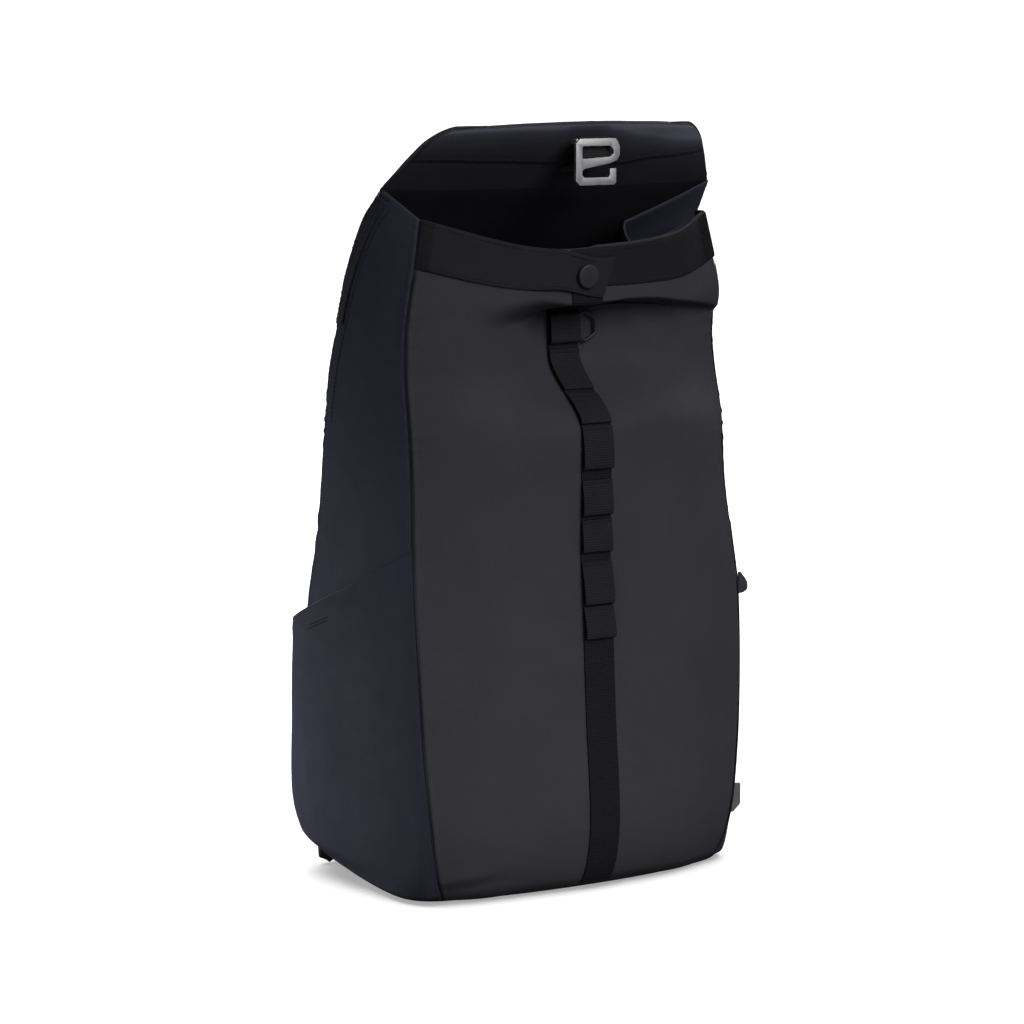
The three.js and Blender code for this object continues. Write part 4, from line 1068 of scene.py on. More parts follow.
class Grower:
    """Geometry node trees for what runs along a line, and the meshes that they make."""

    rib_points: float = 16.0
    edge_points: float = 8.0
    stitch_share: float = 0.82
    rib_share: float = 0.05

    def __init__(self) -> None:
        """Builds the two trees."""
        self.stitches = self.stitch_tree()
        self.webbing = self.webbing_tree()

    @staticmethod
    def start(name: str, inputs: dict[str, str]) -> tuple[Any, Any]:
        """Starts a tree.

        Args:
            name: Name of the tree.
            inputs: Kind of each input after the geometry, by name.

        Returns:
            The tree and the sockets that its inputs come from.
        """
        tree = bpy.data.node_groups.new(name, "GeometryNodeTree")
        for label, kind in {"Geometry": "Geometry", **inputs}.items():
            tree.interface.new_socket(label, in_out="INPUT", socket_type=f"NodeSocket{kind}")
        tree.interface.new_socket("Geometry", in_out="OUTPUT", socket_type="NodeSocketGeometry")
        return tree, tree.nodes.new("NodeGroupInput").outputs

    @staticmethod
    def end(tree: Any, geometry: Socket, finish: Socket) -> Any:
        """Ends a tree in plain, smooth geometry with its finish.

        Args:
            tree: The tree.
            geometry: What it has made.
            finish: The finish.

        Returns:
            The tree.
        """
        real = output(tree, "GeometryNodeRealizeInstances", {"Geometry": geometry})
        smoothed = output(tree, "GeometryNodeSetShadeSmooth", {"Geometry": real})
        painted = output(tree, "GeometryNodeSetMaterial", {"Geometry": smoothed, "Material": finish})
        add_node(tree, "NodeGroupOutput", {0: painted})
        return tree

    def stitch_tree(self) -> Any:
        """Tree that lays stitches along lines.

        Returns:
            The tree.
        """
        tree, given = self.start("stitch_row", {
            "Pitch": "Float", "Length": "Float", "Radius": "Float", "Finish": "Material"})
        line = output(tree, "GeometryNodeMeshToCurve", {0: given["Geometry"]})
        spots = output(tree, "GeometryNodeResampleCurve", {"Curve": line, "Length": given["Pitch"]},
                       mode="LENGTH")
        ball = output(tree, "GeometryNodeMeshIcoSphere", {"Radius": 1.0, "Subdivisions": 2})
        half = reckon(tree, "MULTIPLY", given["Length"], 0.5)
        size = output(tree, "ShaderNodeCombineXYZ", {0: half, 1: given["Radius"], 2: given["Radius"]})
        stitch = output(tree, "GeometryNodeTransform", {"Geometry": ball, "Scale": size})
        along = output(tree, "GeometryNodeInputTangent", {})
        turn = output(tree, "FunctionNodeAlignRotationToVector", {"Vector": along}, axis="X")
        rows = output(tree, "GeometryNodeInstanceOnPoints", {
            "Points": spots, "Instance": stitch, "Rotation": turn})
        return self.end(tree, rows, given["Finish"])

    def webbing_tree(self) -> Any:
        """Tree that lays ribbed webbing along lines.

        Returns:
            The tree.
        """
        tree, given = self.start("ribbed_webbing", {
            "Width": "Float", "Thickness": "Float", "Ribs": "Float", "Rib Height": "Float",
            "Across": "Vector", "Finish": "Material"})
        line = output(tree, "GeometryNodeMeshToCurve", {0: given["Geometry"]})
        turned = output(tree, "GeometryNodeSetCurveNormal", {"Curve": line, "Normal": given["Across"]},
                        mode="FREE")
        box = output(tree, "GeometryNodeCurvePrimitiveQuadrilateral",
                     {"Width": given["Width"], "Height": given["Thickness"]})
        count = reckon(tree, "MULTIPLY_ADD", given["Ribs"], self.rib_points, self.edge_points)
        outline = output(tree, "GeometryNodeResampleCurve", {"Curve": box, "Count": count}, mode="COUNT")
        spot = output(tree, "GeometryNodeInputPosition", {})
        x, y = add_node(tree, "ShaderNodeSeparateXYZ", {0: spot}).outputs[:2]
        turns = reckon(tree, "MULTIPLY", reckon(tree, "DIVIDE", x, given["Width"]), given["Ribs"])
        wave = reckon(tree, "COSINE", reckon(tree, "MULTIPLY", turns, math.pi))
        height = reckon(tree, "MULTIPLY", reckon(tree, "ABSOLUTE", wave), given["Rib Height"])
        lift = reckon(tree, "MULTIPLY", height, reckon(tree, "SIGN", y))
        shift = output(tree, "ShaderNodeCombineXYZ", {1: lift})
        ribbed = output(tree, "GeometryNodeSetPosition", {"Geometry": outline, "Offset": shift})
        run = add_node(tree, "GeometryNodeSplineParameter", {}).outputs["Length"]
        measured = output(tree, "GeometryNodeStoreNamedAttribute", {
            "Geometry": turned, "Name": "along", "Value": run}, data_type="FLOAT", domain="POINT")
        band = output(tree, "GeometryNodeCurveToMesh", {
            "Curve": measured, "Profile Curve": ribbed, "Fill Caps": True})
        return self.end(tree, band, given["Finish"])

    @staticmethod
    def lines(name: str, paths: Sequence[Array]) -> Piece:
        """Object of bare lines, from points in millimetres.

        Args:
            name: Name of the object.
            paths: Points of each line.

        Returns:
            The object.
        """
        verts = np.vstack(paths) * MM
        edges = []
        first = 0
        for path in paths:
            edges += [(k, k + 1) for k in range(first, first + len(path) - 1)]
            first += len(path)
        mesh = bpy.data.meshes.new(name)
        mesh.from_pydata(verts.tolist(), edges, [])
        return linked(name, mesh)

    @staticmethod
    def grow(obj: Piece, tree: Any, values: dict[str, Any]) -> None:
        """Runs a tree on an object and keeps the mesh that it makes.

        Args:
            obj: Object of lines.
            tree: The tree.
            values: Values of the tree's inputs by name.
        """
        modifier = obj.modifiers.new(tree.name, "NODES")
        modifier.node_group = tree
        for item in tree.interface.items_tree:
            if item.item_type == "SOCKET" and item.in_out == "INPUT" and item.name in values:
                modifier[item.identifier] = values[item.name]
        keep_made(obj)

    def sew(self, name: str, paths: Sequence[Array], finish: Material, pitch: float = 3.0,
            radius: float = 0.32) -> None:
        """Sews rows of stitches on the bag.

        Args:
            name: Name of the object.
            paths: Lines of points.
            finish: Finish of the thread.
            pitch: Distance from stitch to stitch.
            radius: Half the thickness of a stitch.
        """
        obj = self.lines(name, paths)
        self.grow(obj, self.stitches, {
            "Pitch": pitch * MM, "Length": pitch * self.stitch_share * MM, "Radius": radius * MM,
            "Finish": finish})
        place(obj, Slot.WEBBING)

    def strap(self, name: str, node: str, path: Array, finish: Material, width: float = STRAP_WIDTH,
              thick: float = WEB, ribs: int = 11, across: Sequence[float] = (1.0, 0.0, 0.0)) -> None:
        """Lays a length of ribbed webbing on the bag.

        Args:
            name: Name of the object.
            node: Solid that it stands for.
            path: Points along its middle.
            finish: Finish of the webbing.
            width: Its width.
            thick: Its thickness over the ribs.
            ribs: Ribs across its width.
            across: Direction of its width.
        """
        obj = self.lines(name, [path])
        rib = self.rib_share * thick
        self.grow(obj, self.webbing, {
            "Width": width * MM, "Thickness": (thick - 2 * rib) * MM, "Ribs": float(ribs),
            "Rib Height": rib * MM, "Across": tuple(float(c) for c in across), "Finish": finish})
        place(obj, Slot.WEBBING, [node])


def tube(name: str, path: Array, radius: float, finish: Material, closed: bool,
         taper: float = 0.0) -> Piece:
    """Round cord or wire along a line.

    Args:
        name: Name of the object.
        path: Points along its middle.
        radius: Its radius.
        finish: Its finish.
        closed: Whether the line meets itself.
        taper: Share of its length over which each end thins out.

    Returns:
        The object.
    """
    curve = bpy.data.curves.new(name, "CURVE")
    curve.dimensions = "3D"
    curve.bevel_depth = radius * MM
    curve.bevel_resolution = 4
    curve.use_fill_caps = True
    spline = curve.splines.new("POLY")
    spline.points.add(len(path) - 1)
    spline.points.foreach_set("co", np.hstack([path * MM, np.ones((len(path), 1))]).ravel())
    if taper:
        share = np.linspace(0, 1, len(path))
        thin = mix(TUBE_TIP, 1.0, ramp(np.minimum(share, 1 - share), 0, taper))
        spline.points.foreach_set("radius", thin)
    spline.use_cyclic_u = closed
    maker = linked(name + "_line", curve)
    mesh = bpy.data.meshes.new_from_object(evaluated(maker))
    bpy.data.objects.remove(maker)
    rework(mesh, TUBE_WELD)
    smooth(mesh)
    paint(mesh, finish)
    return linked(name, mesh)


def softened(node: str, name: str, width: float, finish: Material) -> Piece:
    """Copy of a hard solid with rounded edges.

    Args:
        node: The solid.
        name: Name of the copy.
        width: How wide its edges are rounded.
        finish: Its finish.

    Returns:
        The copy.
    """
    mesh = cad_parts[node].data.copy()
    mesh.name = name
    rework(mesh, SOLID_WELD, level=SOLID_LEVEL, outward=False)
    paint(mesh, finish)
    obj = linked(name, mesh)
    bevel = obj.modifiers.new("edges", "BEVEL")
    bevel.width = width * MM
    bevel.segments = 3
    bevel.limit_method = "ANGLE"
    bevel.angle_limit = BEVEL_FROM
    keep_made(obj)
    smooth(obj.data)
    obj.data.set_sharp_from_angle(angle=SOLID_CREASE)
    return obj


@dataclass
class SubAssembly:
    """Pieces that belong together, with the form that they follow and what they are made with."""

    form: BagForm
    palette: Palette
    grower: Grower


@dataclass
class BodyPanels(SubAssembly):
    """Front, sides, back and base of the bag."""

    columns: int = 151
    side_columns: int = 115
    crowding: float = 0.8
    row_counts: tuple[int, int, int] = (72, 92, 24)
    inset: float = 0.4
    front_half: float = 130.0
    side_depth: float = 150.0
    back_half: float = 140.0
    front_waves: RippleLook = RippleLook(6, (80, 190), (-40, 220), 0.75)
    side_waves: RippleLook = RippleLook(5, (50, 120), (-28, 28), 0.8)
    seam: SeamLook = SeamLook()
    seam_foot: float = 0.4
    seam_foot_z: Pair = (5.0, 60.0)
    strap_clear: Pair = (12.0, 34.0)
    band_clear: Pair = (0.01, 0.06)
    band_seam: float = 0.6
    fold_in: Pair = (0.12, 0.32)
    fold_out: Pair = (0.82, 0.98)
    fold_at: Pair = (-20.0, 17.0)
    fold_lean: float = 0.6
    fold_wave: float = 37.0
    corner_height: float = 1.3
    corner_fade: Pair = (-0.85, -0.5)
    corner_ridge: Triple = (17.0, 20.0, 4.5)
    corner_dip: Triple = (9.0, 18.0, 4.0)
    corner_dip_share: float = 0.7
    pocket_calm: float = 0.25
    pocket_calm_z: Pair = (235.0, 275.0)
    front_clear: Pair = (2.0, 14.0)
    rear_clear: Pair = (6.0, 26.0)
    back_seam: SeamLook = SeamLook(lip=0.15, pucker=0.12)
    lining_shade_top: float = 0.1
    lining_shade_heights: Pair = (450.0, 497.0)
    base_crowding: float = 0.85
    base_drop: float = 0.3
    floor_gap: float = 0.05
    base_rise: Pair = (20.0, 80.0)
    base_level: Pair = (0.3, 0.6)
    thread_radius: float = 0.32
    thread_in: float = 0.5
    tape_width: float = 9.0
    tape_inset: float = 1.5
    tape_from: float = 0.72
    tape_to: float = 0.985
    tape_thick: float = 1.0
    tape_nap: float = 0.28
    row_inset: float = 15.0
    row_run: Pair = (0.56, 0.97)

    def rows(self) -> Array:
        """Row shares, closer together at the foot and under the bands."""
        low, high, rim = self.row_counts
        return np.concatenate([
            self.form.knee_v * np.linspace(0, 1, low, endpoint=False) ** 1.25,
            np.linspace(self.form.knee_v, self.form.band_v, high, endpoint=False),
            np.linspace(self.form.band_v, 1, rim)])

    def build(self) -> None:
        """Builds the five panels and what is sewn on the left one."""
        self.front()
        self.side(Side.LEFT)
        self.side(Side.RIGHT)
        self.back()
        self.base()
        self.tape()
        for which in Side:
            self.seam_line(which)

    def foot_share(self, z: Array) -> Array:
        """How far the seams open at a height: less towards the base."""
        return mix(self.seam_foot, 1.0, ramp(z, *self.seam_foot_z))

    def front(self) -> None:
        """Front panel, drawn in under the bands."""
        columns = spread(self.columns, self.crowding) * (1 - self.inset / self.front_half)
        s, v = np.meshgrid(columns, self.rows())
        weft = Weft(self.form.front(s, v), 1.0)
        across, up = weft.lengths()
        x, z = weft.points[..., 0], weft.points[..., 2]
        band_v = self.form.band_v
        free = ramp(np.abs(x), *self.strap_clear) * ramp(band_v - v, *self.band_clear)
        soft = self.front_waves.laid(across, up, 11) * free
        edges = self.seam.both(across, up, 3, 4) * self.foot_share(z)
        crease = self.form.mouth.read("crease", s)
        zone = ramp(s, *self.fold_in) * (1 - ramp(s, *self.fold_out)) * bell(z - crease, *self.fold_at)
        folds = zone * np.sin(2 * math.pi * (across + self.fold_lean * up) / self.fold_wave)
        ridge, dip = (bell(z, low + slope * (s + 1), wide)
                      for low, slope, wide in (self.corner_ridge, self.corner_dip))
        corner = (ridge - self.corner_dip_share * dip) * (1 - ramp(s, *self.corner_fade))
        edges = edges * (1 - self.band_seam * ramp(v, band_v - 0.02, band_v))
        height = soft + edges + folds + self.corner_height * corner
        obj = shell("front_cloth", weft.raised(height), weft.eased(height - CLOTH),
                    self.palette.charcoal, self.palette.lining)
        place_sheet(obj, Slot.CHARCOAL, "front_panel", weft)

    def side(self, which: Side) -> None:
        """One side panel.

        Args:
            which: The side.
        """
        edge = self.inset / self.side_depth
        columns = (spread(self.side_columns, self.crowding) + 1) / 2
        u, v = np.meshgrid(mix(edge, 1 - edge, columns), self.rows())
        weft = Weft(self.form.side(u, v, which), float(which.value))
        across, up = weft.lengths()
        behind = across[:, -1:] - across
        z = weft.points[..., 2]
        free = mix(self.pocket_calm, 1.0, ramp(z, *self.pocket_calm_z))
        free = free * ramp(behind, *self.rear_clear) * ramp(across, *self.front_clear)
        soft = self.side_waves.laid(across, up, 21 + which.value) * free
        edges = self.seam.both(across, up, 3, 6) * self.foot_share(z)
        lying = 1 - ramp(v, self.form.fold_from + 0.1, self.form.fold_to) if which is Side.RIGHT else 1.0
        height = (soft + edges) * lying
        obj = shell(f"side_cloth_{which.label}", weft.raised(height), weft.raised(height - CLOTH),
                    self.palette.navy, self.palette.lining)
        place_sheet(obj, Slot.NAVY, f"side_panel_{which.label}", weft)

    def back(self) -> None:
        """Back panel, mostly behind the pad."""
        s, v = np.meshgrid(spread(self.columns) * (1 - self.inset / self.back_half), self.rows())
        weft = Weft(self.form.back(s, v), -1.0)
        across, up = weft.lengths()
        height = self.back_seam.both(across, up, 8, 9)
        # Painted shade on the back's lining: the hem finish is read low on its table, so the lining is
        # dark, a little lighter towards the top.
        rise = self.lining_shade_top * ramp(weft.points[..., 2], *self.lining_shade_heights)
        obj = shell("back_cloth", weft.raised(height), weft.raised(height - CLOTH),
                    self.palette.black, self.palette.hem, rise)
        obj.data.set_sharp_from_angle(angle=CLOTH_CREASE)
        place_sheet(obj, Slot.BLACK, "back_panel", weft)

    def base(self) -> None:
        """Base, flat on the floor, its rim turned up to the four panels."""
        t, u = np.meshgrid(*((spread(count, self.base_crowding) + 1) / 2
                             for count in (self.columns, self.side_columns)))
        s, none, one = 2 * t - 1, np.zeros(t.shape), np.ones(t.shape)
        form = self.form
        part = [(form.front(s, none), 1 - u), (form.back(s, none), u),
                (form.side(u, none, Side.LEFT), 1 - t), (form.side(u, none, Side.RIGHT), t),
                (form.front(-one, none), -(1 - u) * (1 - t)), (form.front(one, none), -(1 - u) * t),
                (form.back(-one, none), -u * (1 - t)), (form.back(one, none), -u * t)]
        points = sum(p * share[..., None] for p, share in part)
        weft = Weft(points, -1.0)
        across, up = weft.lengths()
        rim = np.minimum(np.minimum(across, across[:, -1:] - across), np.minimum(up, up[-1:] - up))
        reach = mix(*self.base_rise, ramp(u, *self.base_level))
        level = (points[..., 2] - self.base_drop) * (1 - ramp(rim / reach, 0, 1))
        points[..., 2] = level + self.floor_gap
        obj = shell("base_cloth", points, points + np.array([0, 0, CLOTH]),
                    self.palette.black, self.palette.lining)
        place_sheet(obj, Slot.BLACK, "base_panel", weft)

    def seam_line(self, which: Side) -> None:
        """Dark thread that shows in the seam between the front and a side.

        Args:
            which: The side.
        """
        v = np.linspace(0.004, self.form.band_v - 0.005, 260)
        near, far = self.form.front(which.value * 0.99, v), self.form.side(0.01, v, which)
        seam = self.form.front(float(which.value), v)
        inward = unit((near + far) / 2 - seam)
        obj = tube(f"seam_line_{which.label}", seam + inward * self.thread_in, self.thread_radius,
                   self.palette.tacks, False, 0.02)
        place(obj, Slot.BLACK)

    def tape(self) -> None:
        """Napped tape down the rear edge of the left side, and a row of stitches before it."""
        v = np.linspace(self.tape_from, self.tape_to, 190)
        span = np.linalg.norm(self.form.back(-1.0, v) - self.form.front(-1.0, v), axis=-1)
        share = np.linspace(0, 1, 12)
        far = 1 - self.tape_inset / span
        u = mix(far - self.tape_width / span, far, share[:, None]).T
        weft = Weft(self.form.side(u, v[:, None], Side.LEFT), -1.0)
        nap = np.random.default_rng(5).uniform(-self.tape_nap, self.tape_nap, u.shape)
        obj = shell("side_tape", weft.raised(LAY_GAP + self.tape_thick + nap), weft.raised(LAY_GAP),
                    self.palette.fuzz, self.palette.fuzz)
        place(obj, Slot.BLACK, ["side_tape_left"])
        v = np.linspace(*self.row_run, 160)
        span = np.linalg.norm(self.form.back(-1.0, v) - self.form.front(-1.0, v), axis=-1)
        u = 1 - (self.row_inset + np.array([2.0, 0.0, -2.0]))[None, :] / span[:, None]
        line = Weft(self.form.side(u, v[:, None], Side.LEFT), -1.0)
        self.grower.sew("side_stitches", [line.raised(0.25)[:, 1]], self.palette.thread)


@dataclass
class Flap(SubAssembly):
    """Flap over the mouth with its hem, piping, webbing and hook."""

    columns: int = 141
    rows: int = 44
    hem_rows: int = 30
    top_z: float = 538.0
    top_half: float = 108.5
    top_y: float = -59.0
    top_hood: float = 25.0
    crown: float = 4.5
    corner: float = 13.0
    hem_low: Profile = Profile(
        ["s", "low"], [[-1, 0.48], [-0.5, 0.42], [0, 0.36], [0.3, 0.36], [0.7, 0.45], [1, 0.53]])
    painted_right_light: float = 0.2
    rise_foot: float = 0.1
    sewn_under: float = 0.03
    web_clear: Pair = (14.0, 34.0)
    hem_wide: float = 0.985
    hem_gap: float = 0.25
    hem_high: float = 0.975
    hem_clear: Pair = (14.0, 20.0)
    hem_thin: float = 0.2
    hem_puff: float = 0.3
    hem_pucker: float = 0.22
    hem_wave: float = 13.0
    hem_row: Pair = (0.03, 0.07)
    hem_row_from: float = 15.0
    hook_edge: float = 0.75
    hem_cloth: float = 0.8
    waves: RippleLook = RippleLook(5, (36, 90), (-25, 25), 0.55)
    piping: float = 1.15
    piping_top: float = 20.0
    pin_y: float = -88.6
    pin_z: float = 529.0
    loop_inside: float = 1.75
    loop_wall: float = 1.2
    loop_low: float = 0.42
    loop_end: float = 0.34
    loop_high: float = 0.64
    loop_turn: float = -0.36
    loop_hang: tuple[Pair, ...] = ((-0.6, 3.5), (-0.45, 6), (-0.2, 10), (0.5, 13.2), (3.2, 15))

    def half(self, w: Array) -> Array:
        """Half the flap's width at w from its foot (0) to its top edge (1), round at the corners."""
        rise = np.maximum(self.corner - (1 - w) * (self.top_z - self.form.back_rows[3]), 0) / self.corner
        return self.slant(w) - self.corner * (1 - np.sqrt(1 - rise**2))

    def slant(self, w: Array) -> Array:
        """Half the flap's width before its corners are rounded."""
        return mix(self.form.body.read("backHalf", self.form.back_rows[3]), self.top_half, w)

    def face(self, s: Array, w: Array) -> Array:
        """Points of the outer face.

        Args:
            s: Share across, from -1 to 1.
            w: Share up, from its foot to its top edge.

        Returns:
            The points.
        """
        foot = self.form.back_rows[3]
        x = s * self.half(np.maximum(w, 0))
        share = 1 - (x / self.slant(w)) ** 2
        hood = mix(self.form.body.read("hood", foot), self.top_hood, w) * share
        y = mix(self.form.body.read("backY", foot), self.top_y, w) - hood
        return points_of(x, y, mix(foot, self.top_z, w) + self.crown * w * share)

    def rise(self, s: Array, w: Array) -> Array:
        """Share that the painted light and shade of the inside follows: lighter up the flap, and lighter
        towards the right.
        """
        share = w + self.painted_right_light * ramp(s, 0, 0.75) * ramp(w, 0.05, 0.3)
        return np.clip(mix(self.rise_foot, 1, share), self.rise_foot, 0.985)

    def weft(self, s: Array, w: Array) -> Weft:
        """Grid of the flap's outer face with the soft waves of its cloth.

        Args:
            s: Share across.
            w: Share up.

        Returns:
            The grid.
        """
        base = Weft(self.face(s, w), -1.0)
        x = base.points[..., 0]
        free = ramp(w, 0.02, 0.25) * (1 - 0.7 * ramp(w, 0.7, 1)) * ramp(np.abs(x), *self.web_clear)
        free = free * ramp(1 - np.abs(s), 0, 0.12)
        return Weft(base.raised(self.waves.laid(x, 50 * w, 31) * free), -1.0)

    def build(self) -> None:
        """Builds the flap and everything on it."""
        rows = 1 - (1 - np.linspace(0, 1, self.rows)) ** 1.7
        s, w = np.meshgrid(spread(self.columns), mix(-self.sewn_under, 1, rows))
        weft = self.weft(s, w)
        inner = weft.raised(-np.where(w < 0, CLOTH - 0.4, mix(CLOTH + 0.05, FLAP_CLOTH, ramp(w, 0, 0.5))))
        # The inside of the flap takes the hem finish, whose painted light and shade follow this share.
        obj = shell("flap_cloth", weft.points, inner, self.palette.charcoal, self.palette.hem,
                    self.rise(s, w))
        obj.data.set_sharp_from_angle(angle=CLOTH_CREASE)
        place_sheet(obj, Slot.CHARCOAL, "flap", weft)
        self.hem()
        for which in Side:
            self.edge(which)
        self.loop()
        hook = softened("flap_hook", "hook", self.hook_edge, self.palette.metal)
        place(hook, Slot.METAL, ["flap_hook"], Body.HOOK)

    def hem(self) -> None:
        """Turned-in hem along the top of the inside, with its row of stitches."""
        s, share = np.meshgrid(spread(self.columns) * self.hem_wide, np.linspace(0, 1, self.hem_rows))
        low = self.hem_low.read("low", s)
        w = mix(low, self.hem_high, share)
        weft = self.weft(s, w)
        across, up = weft.lengths()
        rest = FLAP_CLOTH + self.hem_gap
        clear = ramp(np.abs(weft.points[..., 0]), *self.hem_clear)
        turn = 2 * math.pi * across / self.hem_wave + 1.5 * np.sin(across / 31)
        pucker = self.hem_pucker * np.sin(turn) * np.exp(-up / 6)
        fold = (self.hem_cloth - self.hem_thin) * ramp(up, 0, 2.5)
        puff = fold + (self.hem_puff * ramp(up, 3, 8) + pucker) * ramp(up, 0, 2)
        puff = self.hem_thin + puff * clear * ramp(up[-1:] - up, -1, 4)
        # The hem takes the same painted light and shade, read at its share up the flap.
        obj = shell("hem_cloth", weft.raised(-rest - puff), weft.raised(-rest),
                    self.palette.hem, self.palette.hem, self.rise(s, w))
        place(obj, Slot.CHARCOAL, ["flap_hem"])
        line = self.weft(s, low + mix(*self.hem_row, share)).raised(-rest - self.hem_cloth - 0.2)
        line = line[self.hem_rows // 2]
        free = np.abs(line[:, 0]) > self.hem_row_from
        sides = [line[free & (line[:, 0] < 0)], line[free & (line[:, 0] > 0)]]
        self.grower.sew("hem_stitches", sides, self.palette.thread)

    def edge(self, which: Side) -> None:
        """Piping up one edge of the flap and round its corner.

        Args:
            which: The side.
        """
        sign = float(which.value)
        w = mix(0.06, 0.9995, 1 - (1 - np.linspace(0, 1, 60)) ** 2.2)
        tall = np.stack([w - 0.005, w, np.minimum(w + 0.005, 1)], axis=0)
        near = self.face(np.full(tall.shape, sign), tall)
        inner = self.face(np.full(w.shape, sign * 0.98), w)
        normal = unit(np.cross(near[2] - near[0], (near[1] - inner) * sign)) * -1
        out = unit(np.cross(near[2] - near[0], normal)) * -sign
        out *= np.sign(np.sum(out * (near[1] - inner), axis=-1, keepdims=True))
        normal *= np.sign(normal[:, 1:2])
        side_line = near[1] - normal * FLAP_CLOTH / 2 + out * (self.piping - 0.5)
        top = 1 - np.linspace(0.06, 1, 12) * self.piping_top / float(self.half(np.array(1.0)))
        lift = unit(self.face(np.array(0.0), np.array(1.0)) - self.face(np.array(0.0), np.array(0.98)))
        top_line = self.face(sign * top, np.ones(top.shape)) + lift * (self.piping - 0.5)
        top_line -= points_of(0, lift[2], -lift[1]) * FLAP_CLOTH / 2
        path = smooth_line(np.vstack([side_line[::3], top_line[::2]]), 5)
        obj = tube(f"flap_edge_{which.label}", path, self.piping, self.palette.charcoal, False, 0.2)
        place(obj, Slot.BLACK, [f"flap_piping_{which.label}"])

    def loop(self) -> None:
        """Webbing from the flap's inside, round the hook's pin and back."""
        low = np.array(self.loop_low)
        here, above = self.face(np.array(0.0), low), self.face(np.array(0.0), low + 0.02)
        up = unit(above - here)
        inward = points_of(0, -up[2], up[1])
        lie = inward * (FLAP_CLOTH + LAY_GAP + self.loop_wall / 2)
        flat = np.linspace(self.loop_low - 0.15, self.loop_high, 6)
        rise = self.face(np.zeros(flat.shape), flat) + lie
        pin = np.array([0, self.pin_y, self.pin_z])
        angle = np.linspace(self.loop_turn, math.pi + 0.7, 26)
        ring = pin + points_of(0, np.cos(angle), np.sin(angle)) * (self.loop_inside + self.loop_wall / 2)
        hang = np.array([[0, behind, -below] for behind, below in self.loop_hang]) + pin
        over = FLAP_CLOTH + 2 * LAY_GAP + 1.5 * self.loop_wall
        last = self.face(np.array(0.0), np.array(self.loop_end)) + inward * over
        back = smooth_line(np.vstack([rise, ring[:2]]), 7)[:-8]
        fore = smooth_line(np.vstack([ring[-2:], hang, last[None]]), 7)[8:]
        path = np.vstack([back, ring, fore])
        # The webbing takes a lighter finish, which paints light on it.
        self.grower.strap("hook_webbing", "hook_loop", path, self.palette.hook_web_lit, thick=self.loop_wall)


